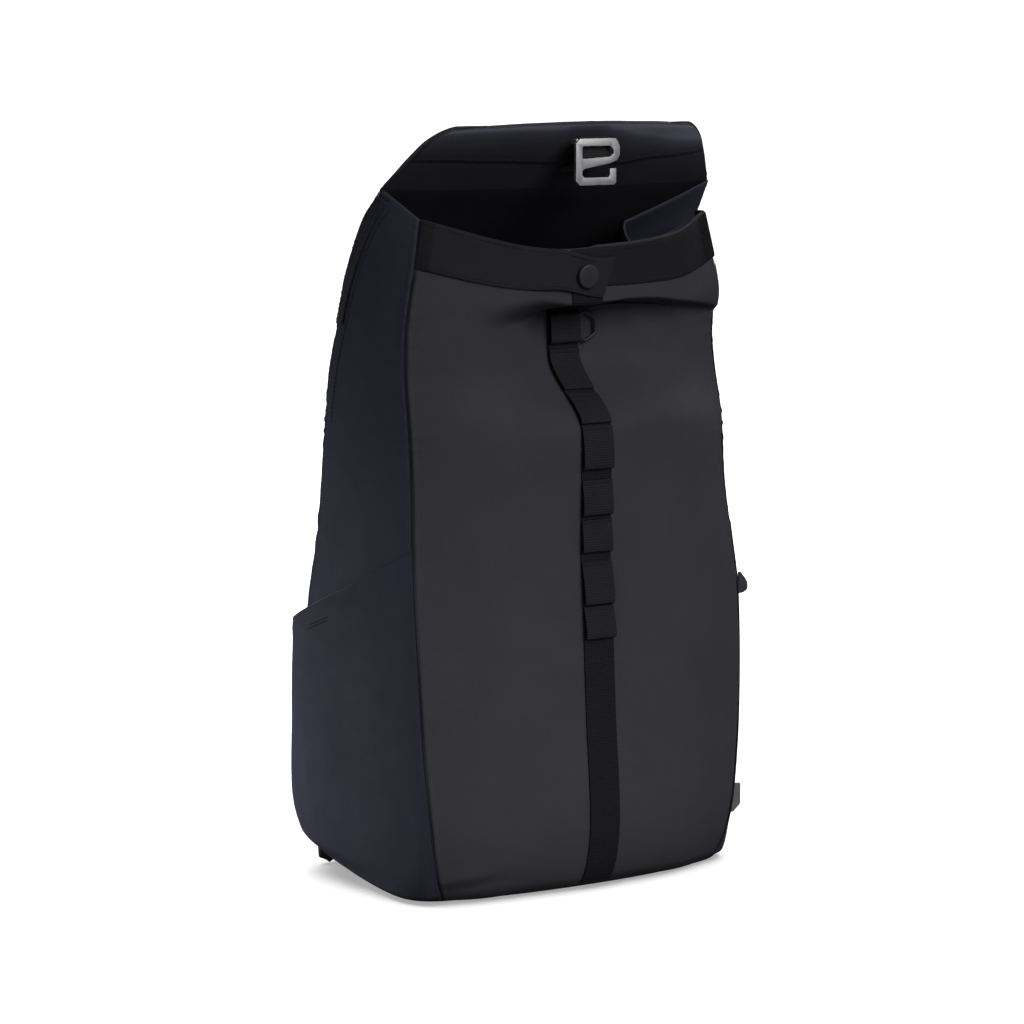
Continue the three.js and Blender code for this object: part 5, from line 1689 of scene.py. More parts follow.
@dataclass
class Mouth(SubAssembly):
    """Bands along the rim, the snap that closes them and the rolled rim behind."""

    columns: int = 131
    rows: int = 30
    left_end: float = 0.18
    right_end: float = -0.11
    slant: float = 0.09
    droop: float = 8.0
    droop_from: Pair = (-0.22, 0.1)
    inset: float = 0.012
    snap_radius: float = 8.7
    snap_height: float = 3.0
    snap_share: float = 0.49
    rim: float = 1.4
    over_rim: float = 0.8
    snap_s: float = -0.013
    waves: RippleLook = RippleLook(4, (30, 80), (-20, 20), 0.22)
    rim_shift: Triple = (0.0, 1.2, 0.6)
    row_points: int = 60
    row_off: float = 0.06
    left_run: Pair = (0.005, 0.99)
    right_run: Pair = (0.195, 0.995)
    row_rise: Pair = (0.08, 0.92)
    left_rows: tuple[float, ...] = (0.022, 0.04, 0.955, 0.975)
    right_rows: tuple[float, ...] = (0.9, 0.955, 0.975)
    stitch: Pair = (2.6, 0.26)
    tack_rise: Pair = (0.03, 0.97)
    left_tacks: tuple[float, float, int] = (0.006, 0.055, 9)
    right_tacks: tuple[float, float, int] = (0.915, 0.994, 13)
    tack: Pair = (1.3, 0.3)

    def over(self, s: Array) -> Array:
        """How far the left band lies off the front at s."""
        step = WEB + LAY_GAP + 0.3
        return LAY_GAP + step * ramp(s, self.right_end - 0.3, self.right_end - 0.06)

    def left_face(self, t: Array, share: Array) -> Weft:
        """Grid under the left band.

        Args:
            t: Share from its sewn end to its tip.
            share: Share up it.

        Returns:
            The grid.
        """
        end = self.left_end - self.slant * (1 - share)
        s = mix(-1 + self.inset, end, t)
        points = self.form.front(s, mix(self.form.band_v, 1, share))
        points[..., 2] += self.over_rim * share - self.droop * ramp(s, *self.droop_from)
        return Weft(Weft(points, 1.0).raised(self.over(s)), 1.0)

    def right_face(self, t: Array, share: Array) -> Weft:
        """Grid under the right band, t from its tip to its sewn end and share up it."""
        s = mix(self.right_end, 1 - self.inset, t)
        return Weft(Weft(self.form.front(s, mix(self.form.band_v, 1, share)), 1.0).raised(LAY_GAP), 1.0)

    def band(self, which: Side, face: Callable[[Array, Array], Weft]) -> None:
        """One band of woven tape.

        Args:
            which: The side it is sewn to.
            face: Grid under it.
        """
        t, share = np.meshgrid((spread(self.columns) + 1) / 2, (spread(self.rows, 0.6) + 1) / 2)
        weft = face(t, share)
        across, up = weft.lengths()
        edge = np.minimum(up, up[-1:] - up)
        roll = -0.35 * bell(edge, 0, 1.1) - 0.12 * bell(edge, 3.2, 0.7)
        soft = self.waves.laid(across, up, 41 + which.value) * ramp(edge, 0, 4)
        # The right band takes the darker copy of the tape, which paints shade on it.
        tape = self.palette.tape if which is Side.LEFT else self.palette.tape_shaded
        obj = shell(f"band_{which.label}", weft.raised(WEB + roll + soft), weft.raised(0.0), tape, tape)
        place(obj, Slot.WEBBING, [f"mouth_band_{which.label}"])

    def build(self) -> None:
        """Builds both bands, the snap, the rolled rim and the stitches."""
        self.band(Side.LEFT, self.left_face)
        self.band(Side.RIGHT, self.right_face)
        self.snap()
        s = np.linspace(0.02, 0.97, 100)
        rim = self.form.front(s, 1.0) + np.array(self.rim_shift)
        place(tube("rolled_rim", rim, self.rim, self.palette.charcoal, False, 0.05), Slot.CHARCOAL)
        line = np.linspace(0, 1, self.row_points)
        level = np.ones(self.row_points)
        left, right = self.left_face, self.right_face
        paths = []
        for share in self.row_rise:
            for face, run in ((left, self.left_run), (right, self.right_run)):
                paths.append(self.row(face, mix(*run, line), share * level))
        for face, places in ((left, self.left_rows), (right, self.right_rows)):
            paths += [self.row(face, at * level, mix(*self.row_rise, line)) for at in places]
        self.grower.sew("band_stitches", paths, self.palette.thread, *self.stitch)
        tacks = [self.row(face, at * level, mix(*self.tack_rise, line))
                 for face, places in ((left, self.left_tacks), (right, self.right_tacks))
                 for at in np.linspace(*places)]
        self.grower.sew("band_tacks", tacks, self.palette.tacks, *self.tack)

    def row(self, face: Callable[[Array, Array], Weft], t: Array, share: Array) -> Array:
        """Line on the outer face of a band.

        Args:
            face: Grid under the band.
            t: Places along the band.
            share: Places up it.

        Returns:
            Points of the line.
        """
        tiny = np.array([-0.004, 0, 0.004])
        if np.ptp(t) > np.ptp(share):
            weft = face(np.broadcast_to(t, (3, len(t))), share[None] + tiny[:, None])
            return weft.raised(WEB + self.row_off)[1]
        weft = face(t[:, None] + tiny[None], np.broadcast_to(share[:, None], (len(share), 3)))
        return weft.raised(WEB + self.row_off)[:, 1]

    def snap(self) -> None:
        """Snap button: a round, nearly flat cap."""
        tiny = np.array([-0.01, 0.0, 0.01])
        first, last = -1 + self.inset, self.left_end - self.slant * (1 - self.snap_share)
        t = (self.snap_s - first) / (last - first)
        near = self.left_face(*np.meshgrid(t + tiny, self.snap_share + tiny))
        normal = near.normals()[1, 1]
        seat = near.points[1, 1] + normal * (WEB + 0.15)
        r, h = self.snap_radius, self.snap_height
        outline = smooth_line([
            [0.1, 0], [r - 1.0, 0], [r - 0.15, 0.4], [r, 1.1], [r - 0.3, h - 0.7], [r - 1.1, h - 0.2],
            [r - 2.6, h - 0.02], [r * 0.4, h + 0.08], [0.1, h + 0.1]], 4)
        across = unit(np.cross(normal, np.array([0, 0, 1.0])))
        up = np.cross(across, normal)
        angle = np.linspace(0, 2 * math.pi, 48, endpoint=False)
        ring = np.cos(angle)[:, None] * across + np.sin(angle)[:, None] * up
        verts = [seat + d * ring + off * normal for d, off in outline]
        obj = mesh_object("snap", np.vstack(verts), tube_faces(len(outline), len(angle)))
        rework(obj.data, 0.0)
        paint(obj.data, self.palette.plastic)
        place(obj, Slot.PLASTIC, ["snap_button"])


@dataclass
class FrontStrap(SubAssembly):
    """Strap down the front with its loops, top tab and ring."""

    low_v: float = 0.006
    high_v: float = 0.846
    loops: tuple[Triple, ...] = (
        (381, 353.5, 0.5), (350, 332, 1.0), (330, 301, 2.2), (292.5, 268.5, 2.2), (264.5, 242, 2.2),
        (234.5, 205, 2.5), (203, 181, 2.8))
    loop_run: tuple[Pair, ...] = (
        (0, 0), (0.1, 0.1), (0.3, 0.45), (0.55, 0.82), (0.78, 1.0), (0.92, 1.0), (0.99, 0.8), (1.0, 0.45),
        (0.97, 0.15), (0.93, 0.02))
    tab: Triple = (407.3, 385.5, 3.2)
    tab_run: tuple[Pair, ...] = (
        (0, 0), (0.03, 0.55), (0.1, 0.95), (0.3, 1.0), (0.7, 1.0), (0.9, 0.95), (0.98, 0.55), (1.0, 0.05))
    tacks_z: tuple[float, ...] = (164.8, 166.0, 167.2, 22.0)
    stitch: Pair = (2.4, 0.34)
    side_clear: float = 1.6
    sewn_below: Pair = (1.8, 2.2)
    stitch_off: Pair = (0.45, 0.05)
    step: float = 0.3
    passes: int = 12
    gap: float = 0.2
    ring_across: float = 23.4
    ring_wire: float = 1.2
    ring_corner: float = 0.22

    def line(self) -> tuple[Array, Array, Array]:
        """Line down the middle of the front, from the foot up.

        Returns:
            The points, their outward normals and their heights.
        """
        points = self.form.front(0.0, np.linspace(self.low_v, self.high_v, 900))
        run = np.gradient(points, axis=0)
        return points, unit(points_of(0, -run[:, 2], run[:, 1])), points[:, 2]

    def laid(self, height: float, pitch: float = 1.6) -> Array:
        """Line down the middle of the front that keeps a distance off it and rounds its corners.

        Args:
            height: Distance off the front.
            pitch: Distance between points.

        Returns:
            Points from the foot up.
        """
        points, _, level = self.line()
        z = np.arange(level.min(), level.max(), self.step)
        y = np.interp(z, level, points[:, 1])
        reach = int(height / self.step)
        away = [np.roll(y, k) - math.sqrt(height**2 - (self.step * k) ** 2)
                for k in range(-reach, reach + 1)]
        off = np.min(away, axis=0)
        off[:reach], off[len(off) - reach:] = off[reach], off[-reach - 1]
        path = points_of(0, off, z)
        for _ in range(self.passes):
            path[1:-1] = (path[:-2] + 2 * path[1:-1] + path[2:]) / 4
        along = np.concatenate([[0], np.cumsum(np.linalg.norm(np.diff(path, axis=0), axis=1))])
        spots = np.linspace(0, along[-1], int(along[-1] / pitch))
        return np.stack([np.interp(spots, along, path[:, k]) for k in range(3)], axis=1)

    def at(self, z: Array, height: Array) -> Array:
        """Points off the middle of the front.

        Args:
            z: Heights above the floor.
            height: Distance off the front.

        Returns:
            The points.
        """
        points, normals, level = self.line()
        order = np.argsort(level)
        y, out_y, out_z = (np.interp(z, level[order], column[order])
                           for column in (points[:, 1], normals[:, 1], normals[:, 2]))
        return points_of(0, y, z) + unit(points_of(0, out_y, out_z)) * np.asarray(height)[..., None]

    def build(self) -> None:
        """Builds the strap and what is sewn on it."""
        self.grower.strap("strap", "front_strap", self.laid(self.gap + WEB / 2), self.palette.webbing)
        outer = self.gap + WEB
        rows = []
        half = np.linspace(-STRAP_WIDTH / 2 + self.side_clear, STRAP_WIDTH / 2 - self.side_clear, 24)
        for k, (top, low, stand) in enumerate(self.loops):
            self.bow(f"loop_{k + 1}", f"strap_loop_{k + 1}", (top, low, stand), self.loop_run)
            rows.append(self.across(half, top - self.sewn_below[0], outer + WEB + self.stitch_off[0]))
            rows.append(self.across(half, low - self.sewn_below[1], outer + self.stitch_off[1]))
        self.bow("ring_tab", "strap_top_tab", self.tab, self.tab_run)
        rows += [self.across(half, z, outer + self.stitch_off[1]) for z in self.tacks_z]
        self.grower.sew("strap_stitches", rows, self.palette.thread, *self.stitch)
        self.ring()

    def bow(self, name: str, node: str, reach: Triple,
            run: Sequence[Pair]) -> None:
        """Loop of webbing on the strap.

        Args:
            name: Name of the object.
            node: Solid that it stands for.
            reach: Heights of its upper and lower end, and how far it stands off the strap.
            run: Its course, as shares of its length and of its stand.
        """
        top, low, stand = reach
        course = smooth_line(run, 6)
        off = self.gap + 1.5 * WEB + 0.12 + np.maximum(course[:, 1], 0) * stand
        # The loops and the ring tab take the lighter webbing, which paints light on them.
        self.grower.strap(name, node, self.at(mix(top, low, course[:, 0]), off), self.palette.loops)

    def across(self, half: Array, z: float, off: float) -> Array:
        """Line across the strap at a height, so far off the front."""
        point = self.at(np.array([z]), np.array([off]))[0]
        return points_of(half, point[1], point[2])

    def ring(self) -> None:
        """Six-sided ring under the top tab, its corners rounded."""
        low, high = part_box("hex_ring")
        middle = np.array([(a + b) / 2 / MM for a, b in zip(low, high)])
        ends = self.at(np.array([self.tab[1], self.tab[0]]), np.zeros(2))
        up = unit(ends[1] - ends[0])
        reach = self.ring_across / 2 - self.ring_wire
        turns = np.arange(6) * math.pi / 3
        corners = reach * np.stack([np.sin(turns), np.cos(turns)], axis=1)
        path = []
        for k, corner in enumerate(corners):
            before, after = corners[k - 1], corners[(k + 1) % 6]
            for t in np.linspace(0, 1, 7):
                spot = mix(mix(corner, before, self.ring_corner * (1 - t)),
                           mix(corner, after, self.ring_corner * t), t)
                path.append(middle + np.array([1.0, 0, 0]) * spot[0] + up * spot[1])
        obj = tube("ring", np.array(path), self.ring_wire, self.palette.plastic, True)
        place(obj, Slot.PLASTIC, ["hex_ring"])


@dataclass
class Pockets(SubAssembly):
    """Side pockets with their hemmed mouths, and the two small tabs at the right."""

    columns: int = 121
    row_counts: tuple[int, int] = (24, 90)
    front_z: float = 250.0
    back_z: float = 184.0
    foot: float = 0.006
    edge: float = 0.003
    bulges: Pair = (17.0, 12.0)
    sag: float = 0.46
    gap: float = 0.8
    hem: float = 12.0
    sewn: Pair = (11.0, 30.0)
    seam_clear: Pair = (2.0, 22.0)
    foot_clear: Pair = (5.0, 40.0)
    hem_clear: Pair = (4.0, 26.0)
    right_flat: Pair = (0.1, 0.5)
    bulge_form: Profile = Profile(
        ["u", "bulge"],
        [[0, 0], [0.2, 0.29], [0.4, 0.53], [0.6, 0.86], [0.75, 1], [0.88, 0.9], [0.96, 0.5], [1, 0]])
    seam: SeamLook = SeamLook(depth=0.7, lip=0.2, pucker=0.22)
    waves: RippleLook = RippleLook(5, (60, 150), (-60, 60), 0.7)
    tack_run: Pair = (0.56, 0.7)
    tack_off: float = 0.75
    tacks_down: Pair = (0.073, 0.085)
    tack: Pair = (1.6, 0.32)
    seam_tab: Profile = Profile(
        ["share", "out"],
        [[0, 0.25], [0.05, 0.62], [0.13, 0.88], [0.28, 1.02], [0.5, 0.95], [0.72, 0.62], [0.9, 0.25],
         [1, 0.04]])
    hem_tab: Profile = Profile(
        ["share", "out"], [[0, 0.08], [0.1, 0.45], [0.22, 0.9], [0.3, 1], [0.6, 1], [0.97, 1], [1, 0.94]])

    @staticmethod
    def share_at(height: float, height_at: Callable[[Array], Array]) -> float:
        """Row share at which a seam passes a height."""
        v = np.linspace(0, 1, 4001)
        return float(np.interp(height, height_at(v), v))

    def face(self, u: Array, q: Array, which: Side) -> tuple[Weft, Array]:
        """Side under a pocket, and how far the pocket stands out there.

        Args:
            u: Share across, from the front seam to the back seam.
            q: Share up the pocket.
            which: The side.

        Returns:
            Grid of the side, and the pocket's bulge at each point.
        """
        sign = np.array(float(which.value))
        front = self.share_at(self.front_z, lambda v: self.form.front_height(np.full(v.shape, sign), v))
        rear = self.share_at(self.back_z, lambda v: self.form.back(np.full(v.shape, sign), v)[..., 2])
        weft = Weft(self.form.side(u, mix(self.foot, mix(front, rear, u), q), which), float(which.value))
        most = self.bulges[0] if which is Side.LEFT else self.bulges[1]
        rise = self.sag * ramp(q, 0, 0.08) + (1 - self.sag) * ramp(q, 0.15, 0.95)
        inside = np.clip((u - self.edge) / (1 - 2 * self.edge), 0, 1)
        flat = ramp(u, *self.right_flat) if which is Side.RIGHT else 1.0
        return weft, most * self.bulge_form.read("bulge", inside) * rise * flat

    def sheet(self, u: Array, q: Array, which: Side, off: Array | float) -> Array:
        """Points of a pocket so far off the side that it lies on."""
        weft, bulge = self.face(u, q, which)
        return weft.raised(off) + points_of(which.value * bulge, 0, 0)

    def build(self) -> None:
        """Builds both pockets and the tabs."""
        for which in Side:
            self.pocket(which)
        self.tab("seam_tab_right", "seam_tab", self.seam_tab, self.palette.tab, Slot.WEBBING)
        self.tab("hem_tab_right", "hem_tab", self.hem_tab, self.palette.grey, Slot.GREY)

    def tab(self, node: str, name: str, edge: Profile, finish: Material, slot: Slot) -> None:
        """Small flat tab of folded tape, sewn into a seam.

        Args:
            node: Solid that it stands for.
            name: Name of the piece.
            edge: How far it stands out at each share of its height.
            finish: Finish of the tape.
            slot: Slot of the record; passed on, not used.
        """
        low, high = (np.array(corner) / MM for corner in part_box(node))
        share, across = np.meshgrid((spread(41, 0.7) + 1) / 2, np.linspace(0, 1, 14), indexing="ij")
        x = mix(low[0] - 1.2, low[0] + (high[0] - low[0]) * edge.read("out", share), across)
        z = mix(low[2], high[2], share)
        puff = 0.35 * np.sin(math.pi * across) * np.sin(math.pi * share)
        middle, half = (low[1] + high[1]) / 2, (high[1] - low[1]) / 2 - 0.3
        obj = shell(name, points_of(x, middle - half - puff, z), points_of(x, middle + half, z),
                    finish, finish)
        place(obj, slot, [node])

    def pocket(self, which: Side) -> None:
        """One pocket, its mouth turned over in a hem.

        Args:
            which: The side.
        """
        columns = mix(self.edge, 1 - self.edge, (spread(self.columns, 0.75) + 1) / 2)
        low, high = self.row_counts
        rows = [np.linspace(0, 0.1, low, endpoint=False), np.linspace(0.1, 1, high)]
        u, q = np.meshgrid(columns, np.concatenate(rows))
        base = Weft(self.sheet(u, q, which, self.gap), float(which.value))
        across, up = base.lengths()
        below = up[-1:] - up
        seam = np.minimum(across, across[:, -1:] - across)
        sewn = ramp(seam, 0, self.sewn[0] if which is Side.LEFT else self.sewn[1])
        base = Weft(self.sheet(u, q, which, mix(0.1, self.gap, sewn)), float(which.value))
        soft = self.waves.laid(across, up, 51 + which.value)
        free = ramp(seam, *self.seam_clear) * ramp(up, *self.foot_clear) * ramp(below, *self.hem_clear)
        edges = self.seam.both(across, up, 14, 15)
        hem = 0.5 * (1 - ramp(below, self.hem - 1.5, self.hem + 1))
        hem = hem - 0.3 * bell(below, self.hem - 1.5, 0.9)
        height = soft * free + edges * sewn + self.seam.height(up, across, 16) * 0.6 + hem * sewn
        obj = shell(f"pocket_cloth_{which.label}", base.raised(mix(0.4, CLOTH, sewn) + height),
                    base.raised(np.maximum(height - hem * sewn, -0.4) * sewn),
                    self.palette.navy, self.palette.lining)
        place_sheet(obj, Slot.NAVY, f"side_pocket_{which.label}", base)
        tacks = []
        for down in self.tacks_down:
            u, q = np.meshgrid(np.linspace(*self.tack_run, 20), 1 - down + np.array([-0.004, 0, 0.004]))
            line = Weft(self.sheet(u, q, which, self.gap), float(which.value))
            tacks.append(line.raised(CLOTH + self.tack_off)[1])
        self.grower.sew(f"pocket_stitches_{which.label}", tacks, self.palette.thread, *self.tack)


@dataclass(frozen=True)
class PadFill:
    """Soft filling that swells a closed cover a little."""

    voxel: float = 5.0
    pressure: float = 4.0
    frames: int = 20
    cap: float = 6.0
    even: Pair = (0.55, -0.56)
    passes: int = 24

    def swell(self, obj: Piece, held: Callable[[Array], Array], bound: Callable[[Array], Array]) -> None:
        """Turns a rough closed form into a stuffed one.

        Args:
            obj: The form.
            held: Tells which points are sewn down.
            bound: Keeps points clear of what is next to them.
        """
        remesh = obj.modifiers.new("cover", "REMESH")
        remesh.mode = "VOXEL"
        remesh.voxel_size = self.voxel * MM
        keep_made(obj)
        rest = points_in(obj.data)
        moved = self.simulate(obj, held(rest)) - rest
        length = np.linalg.norm(moved, axis=1, keepdims=True)
        rest = rest + moved * np.minimum(1, self.cap / np.maximum(length, 1e-6))
        rest = self.evened(obj.data, rest)
        obj.data.vertices.foreach_set("co", (bound(rest) * MM).ravel())
        obj.data.update()
        fine = obj.modifiers.new("fine", "SUBSURF")
        fine.levels = fine.render_levels = 1
        keep_made(obj)
        smooth(obj.data)

    def evened(self, mesh: Mesh, points: Array) -> Array:
        """Points without the steps that the cover's remeshing leaves, at the same volume.

        Args:
            mesh: The cover.
            points: Its points.

        Returns:
            The points, evened.
        """
        ends = np.zeros(len(mesh.edges) * 2, np.int32)
        mesh.edges.foreach_get("vertices", ends)
        a, b = ends.reshape(-1, 2).T
        count = np.bincount(ends, minlength=len(points))[:, None]
        for factor in self.even * self.passes:
            total = np.zeros_like(points)
            np.add.at(total, a, points[b])
            np.add.at(total, b, points[a])
            points = points + factor * (total / count - points)
        return points

    def simulate(self, obj: Piece, held: Array) -> Array:
        """Blows the cover up as cloth.

        Args:
            obj: The cover.
            held: Which of its points are sewn down.

        Returns:
            Its points afterwards.
        """
        group = obj.vertex_groups.new(name="held")
        group.add([int(k) for k in np.flatnonzero(held)], 1.0, "REPLACE")
        cloth = obj.modifiers.new("fill", "CLOTH")
        cloth.settings.use_pressure = True
        cloth.settings.uniform_pressure_force = self.pressure
        cloth.settings.effector_weights.gravity = 0.0
        cloth.settings.vertex_group_mass = "held"
        cloth.point_cache.frame_start, cloth.point_cache.frame_end = 1, self.frames
        scene = bpy.context.scene
        for number in range(1, self.frames + 1):
            scene.frame_set(number)
        blown = points_in(evaluated(obj).data)
        obj.modifiers.clear()
        obj.vertex_groups.clear()
        scene.frame_set(1)
        return blown


@dataclass
class Harness(SubAssembly):
    """Back pad, shoulder straps with their buckles and webbing, and the haul handle."""

    pad_half: float = 138.0
    pad_top: float = 424.0
    pad_thick: float = 13.0
    pad_edge: float = 5.0
    pad_corner: float = 8.0
    pad_share: float = 0.92
    pad_foot_as: float = 40.0
    pad_inset: float = 3.0
    pad_least: float = 9.0
    pad_grid: tuple[int, int] = (90, 41)
    pad_over: float = 0.3
    pad_low: float = 0.3
    pad_into: float = 2.0
    pad_held: float = 2.2
    pad_row: float = 6.0
    pad_rows_z: Pair = (12.0, 414.0)
    shoulder: Profile = Profile(
        ["z", "x", "clear", "width", "thick"],
        [[142, 97, 8, 50, 8], [160, 96.5, 9, 54, 10], [220, 95, 14, 58, 11], [280, 91, 14, 60, 11],
         [340, 80, 9, 60, 11], [400, 60, 4, 60, 10], [428, 51, 4.2, 58, 7], [443, 48, 0.1, 56, 4]])
    shoulder_foot: float = 142.0
    shoulder_head: float = 443.0
    lock_low: float = 113.0
    lock_edge: float = 0.7
    web_x: float = 103.0
    web_low: float = 30.0
    web_flat: float = 46.0
    web_fall: tuple[Triple, ...] = ((80.0, 0.35, 96.0), (70.0, 0.75, 68.0))
    handle_half: float = 44.0
    handle_foot: float = 13.0
    handle_rise: float = 24.0
    handle_width: float = 22.0
    handle_thick: float = 2.4
    handle_z: float = 458.0
    fill: PadFill = PadFill()
    strap_fill: PadFill = PadFill(voxel=4.0, cap=2.5)
    strap_grid: tuple[int, int] = (76, 36)
    strap_off: float = 0.4
    strap_reach: float = 20.0
    strap_row: float = 6.0
    strap_less: float = 1.6
    strap_square: float = 0.6
    strap_least: float = 5.0
    strap_inset: float = 2.0
    strap_sewn: Pair = (8.0, 10.0)
    handle_stitch: Pair = (2.2, 0.36)

    def pad_thickness(self, x: Array, z: Array) -> Array:
        """Thickness of the pad at x and height z."""
        a = np.minimum(np.abs(x) / self.pad_half, 1)
        b = np.maximum(2 * z / self.pad_top - 1, 0)
        return mix(self.pad_edge, self.pad_thick, (1 - a**6) * np.maximum(1 - b**8, 0))

    def pad_side(self, z: Array) -> Array:
        """Half the pad's width at height z."""
        half = self.form.body.read("backHalf", np.maximum(z, self.pad_foot_as))
        return self.pad_share * half - self.pad_inset

    def rest_face(self, x: Array, z: Array) -> Array:
        """Y of the outermost cloth behind the bag at x and height z."""
        pad = np.where(np.asarray(z) > self.pad_top, 0, LAY_GAP + self.pad_thickness(x, z))
        return self.form.back_face(x, z) + pad

    def build(self) -> None:
        """Builds everything on the back."""
        self.pad()
        for which in Side:
            self.strap(which)
            self.web(which)
            lock = f"ladder_lock_{which.label}"
            obj = softened(lock, f"lock_{which.label}", self.lock_edge, self.palette.plastic)
            place(obj, Slot.PLASTIC, [lock])
        self.handle()

    def pad(self) -> None:
        """Back pad, stuffed, with a row of stitches round it."""
        rows, columns = self.pad_grid
        z = mix(0.8, self.pad_top - 2, (spread(rows, 0.8) + 1) / 2)
        half = self.pad_side(z)
        into = np.maximum(1 - np.minimum(z - z[0], z[-1] - z) / self.pad_corner, 0)
        half = half - self.pad_corner * (1 - np.sqrt(1 - into**2))
        x = np.linspace(-1, 1, columns)[None, :] * half[:, None]
        high = np.broadcast_to(z[:, None], x.shape)
        near = self.form.back_face(x, high) + LAY_GAP - self.pad_into
        far = near + np.maximum(self.pad_thickness(x, high) - 0.5, self.pad_least)
        obj = shell("back_cushion", points_of(x, far, high), points_of(x, near, high),
                    self.palette.mesh, self.palette.black)

        def held(p: Array) -> Array:
            """Points against the back."""
            return p[:, 1] < self.form.back_face(p[:, 0], p[:, 2]) + LAY_GAP + self.pad_held

        def bound(p: Array) -> Array:
            """Keeps the pad off the back and inside its thickness."""
            near = self.form.back_face(p[:, 0], p[:, 2]) + LAY_GAP
            most = near + self.pad_thickness(p[:, 0], p[:, 2]) + self.pad_over
            side = self.pad_side(p[:, 2])
            return np.clip(p, points_of(-side, near, self.pad_low),
                           points_of(side, most, self.pad_top + 1))

        self.fill.swell(obj, held, bound)
        self.dress(obj, "back_pad")
        side_z = np.linspace(*self.pad_rows_z, 120)
        side_x = self.pad_side(side_z) - self.pad_row
        lines = [(-side_x, side_z), (side_x, side_z)]
        for end in (-1, 0):
            lines.append((np.linspace(-side_x[end], side_x[end], 80), np.full(80, side_z[end])))
        self.sew_on(obj, "pad_stitches", lines)

    def dress(self, obj: Piece, node: str) -> None:
        """Finishes a stuffed piece and hands it over.

        Args:
            obj: The piece.
            node: Solid that it stands for.
        """
        paint(obj.data, self.palette.mesh)
        self.unwrap(obj)
        place(obj, Slot.BLACK, [node])

    def sew_on(self, obj: Piece, name: str, lines: Sequence[tuple[Array, Array]]) -> None:
        """Rows of stitches on the rear face of a piece.

        Args:
            obj: The piece.
            name: Name of the stitches.
            lines: X and height of the points of each row.
        """
        tree = BVHTree.FromObject(obj, bpy.context.evaluated_depsgraph_get())
        paths = []
        for xs, zs in lines:
            hits = [tree.ray_cast(Vector((x * MM, 0.3, z * MM)), Vector((0, -1, 0)))[0]
                    for x, z in zip(xs, zs)]
            paths.append(np.array([[h.x, h.y + 0.0001, h.z] for h in hits if h is not None]) / MM)
        self.grower.sew(name, [p for p in paths if len(p) > 1], self.palette.thread)

    @staticmethod
    def unwrap(obj: Piece) -> None:
        """Gives a piece a UV map in metres, seen from behind.

        Args:
            obj: The piece.
        """
        layer = obj.data.uv_layers.new(name="UVMap")
        corner = np.zeros(len(obj.data.loops), np.int32)
        obj.data.loops.foreach_get("vertex_index", corner)
        x, y, z = (points_in(obj.data) * MM)[corner].T
        layer.data.foreach_set("uv", np.stack([x + y, z], axis=1).ravel())

    def middle_y(self, z: Array) -> Array:
        """Y of the middle of a shoulder strap.

        Args:
            z: The height.

        Returns:
            The values.
        """
        x = self.shoulder.read("x", z)
        places = (x - self.strap_reach, x, x + self.strap_reach)
        rest = np.max([self.rest_face(place_x, z) for place_x in places], axis=0)
        return rest + self.strap_off + self.shoulder.read("clear", z) + self.shoulder.read("thick", z) / 2

    def strap(self, which: Side) -> None:
        """Padded shoulder strap.

        Args:
            which: The side.
        """
        rings, count = self.strap_grid
        z = np.linspace(self.shoulder_foot, self.shoulder_head, rings)
        angle = np.linspace(0, 2 * math.pi, count, endpoint=False)
        cos, sin = (np.sign(c) * np.abs(c) ** self.strap_square for c in (np.cos(angle), np.sin(angle)))
        wide = (self.shoulder.read("width", z) / 2 - self.strap_less)[:, None] * cos
        deep = np.maximum(self.shoulder.read("thick", z) / 2 + 0.6, self.strap_least)[:, None] * sin
        x = which.value * (self.shoulder.read("x", z)[:, None] + wide)
        verts = points_of(x, self.middle_y(z)[:, None] + deep, z[:, None]).reshape(-1, 3)
        faces = tube_faces(rings, count)
        if which is Side.LEFT:
            faces = [f[::-1] for f in faces]
        obj = mesh_object(f"shoulder_{which.label}", verts, faces)

        def held(p: Array) -> Array:
            """Points of the sewn ends."""
            low, high = self.strap_sewn
            return (p[:, 2] > self.shoulder_head - high) | (p[:, 2] < self.shoulder_foot + low)

        def bound(p: Array) -> Array:
            """Keeps the strap inside its room."""
            most = self.shoulder.read("thick", p[:, 2]) / 2
            level = self.middle_y(p[:, 2])
            middle = which.value * self.shoulder.read("x", p[:, 2])
            wide = self.shoulder.read("width", p[:, 2]) / 2 - self.strap_inset
            return np.clip(p, points_of(middle - wide, level - most, self.shoulder_foot),
                           points_of(middle + wide, level + most, self.shoulder_head))

        self.strap_fill.swell(obj, held, bound)
        self.dress(obj, f"shoulder_strap_{which.label}")
        run = np.linspace(self.shoulder_foot + self.strap_row, self.shoulder_head - self.strap_row, 140)
        x, wide = self.shoulder.read("x", run), self.shoulder.read("width", run) / 2 - self.strap_row
        lines = [(which.value * (x - wide), run), (which.value * (x + wide), run)]
        self.sew_on(obj, f"shoulder_stitches_{which.label}", lines)

    def web_rest(self, z: float) -> float:
        """Y of the middle of the webbing where it lies on the pad at height z."""
        reach = self.web_x + np.linspace(-STRAP_WIDTH / 2, STRAP_WIDTH / 2, 5)
        return max(float(self.rest_face(x, np.array(z))) for x in reach) + LAY_GAP + WEB / 2

    def web(self, which: Side) -> None:
        """Webbing from the buckle down to the foot of the pad.

        Args:
            which: The side.
        """
        start = float(self.middle_y(np.array(self.shoulder_foot)))
        knots = [[0, start, self.lock_low - 0.6]]
        knots += [[0, mix(start, self.web_rest(at), share), z] for at, share, z in self.web_fall]
        knots += [[0, self.web_rest(z) + 0.4, z] for z in (self.web_flat, self.web_low)]
        path = smooth_line(knots, 12) + np.array([which.value * self.web_x, 0, 0])
        self.grower.strap(f"webbing_{which.label}", f"strap_webbing_{which.label}", path,
                          self.palette.webbing)

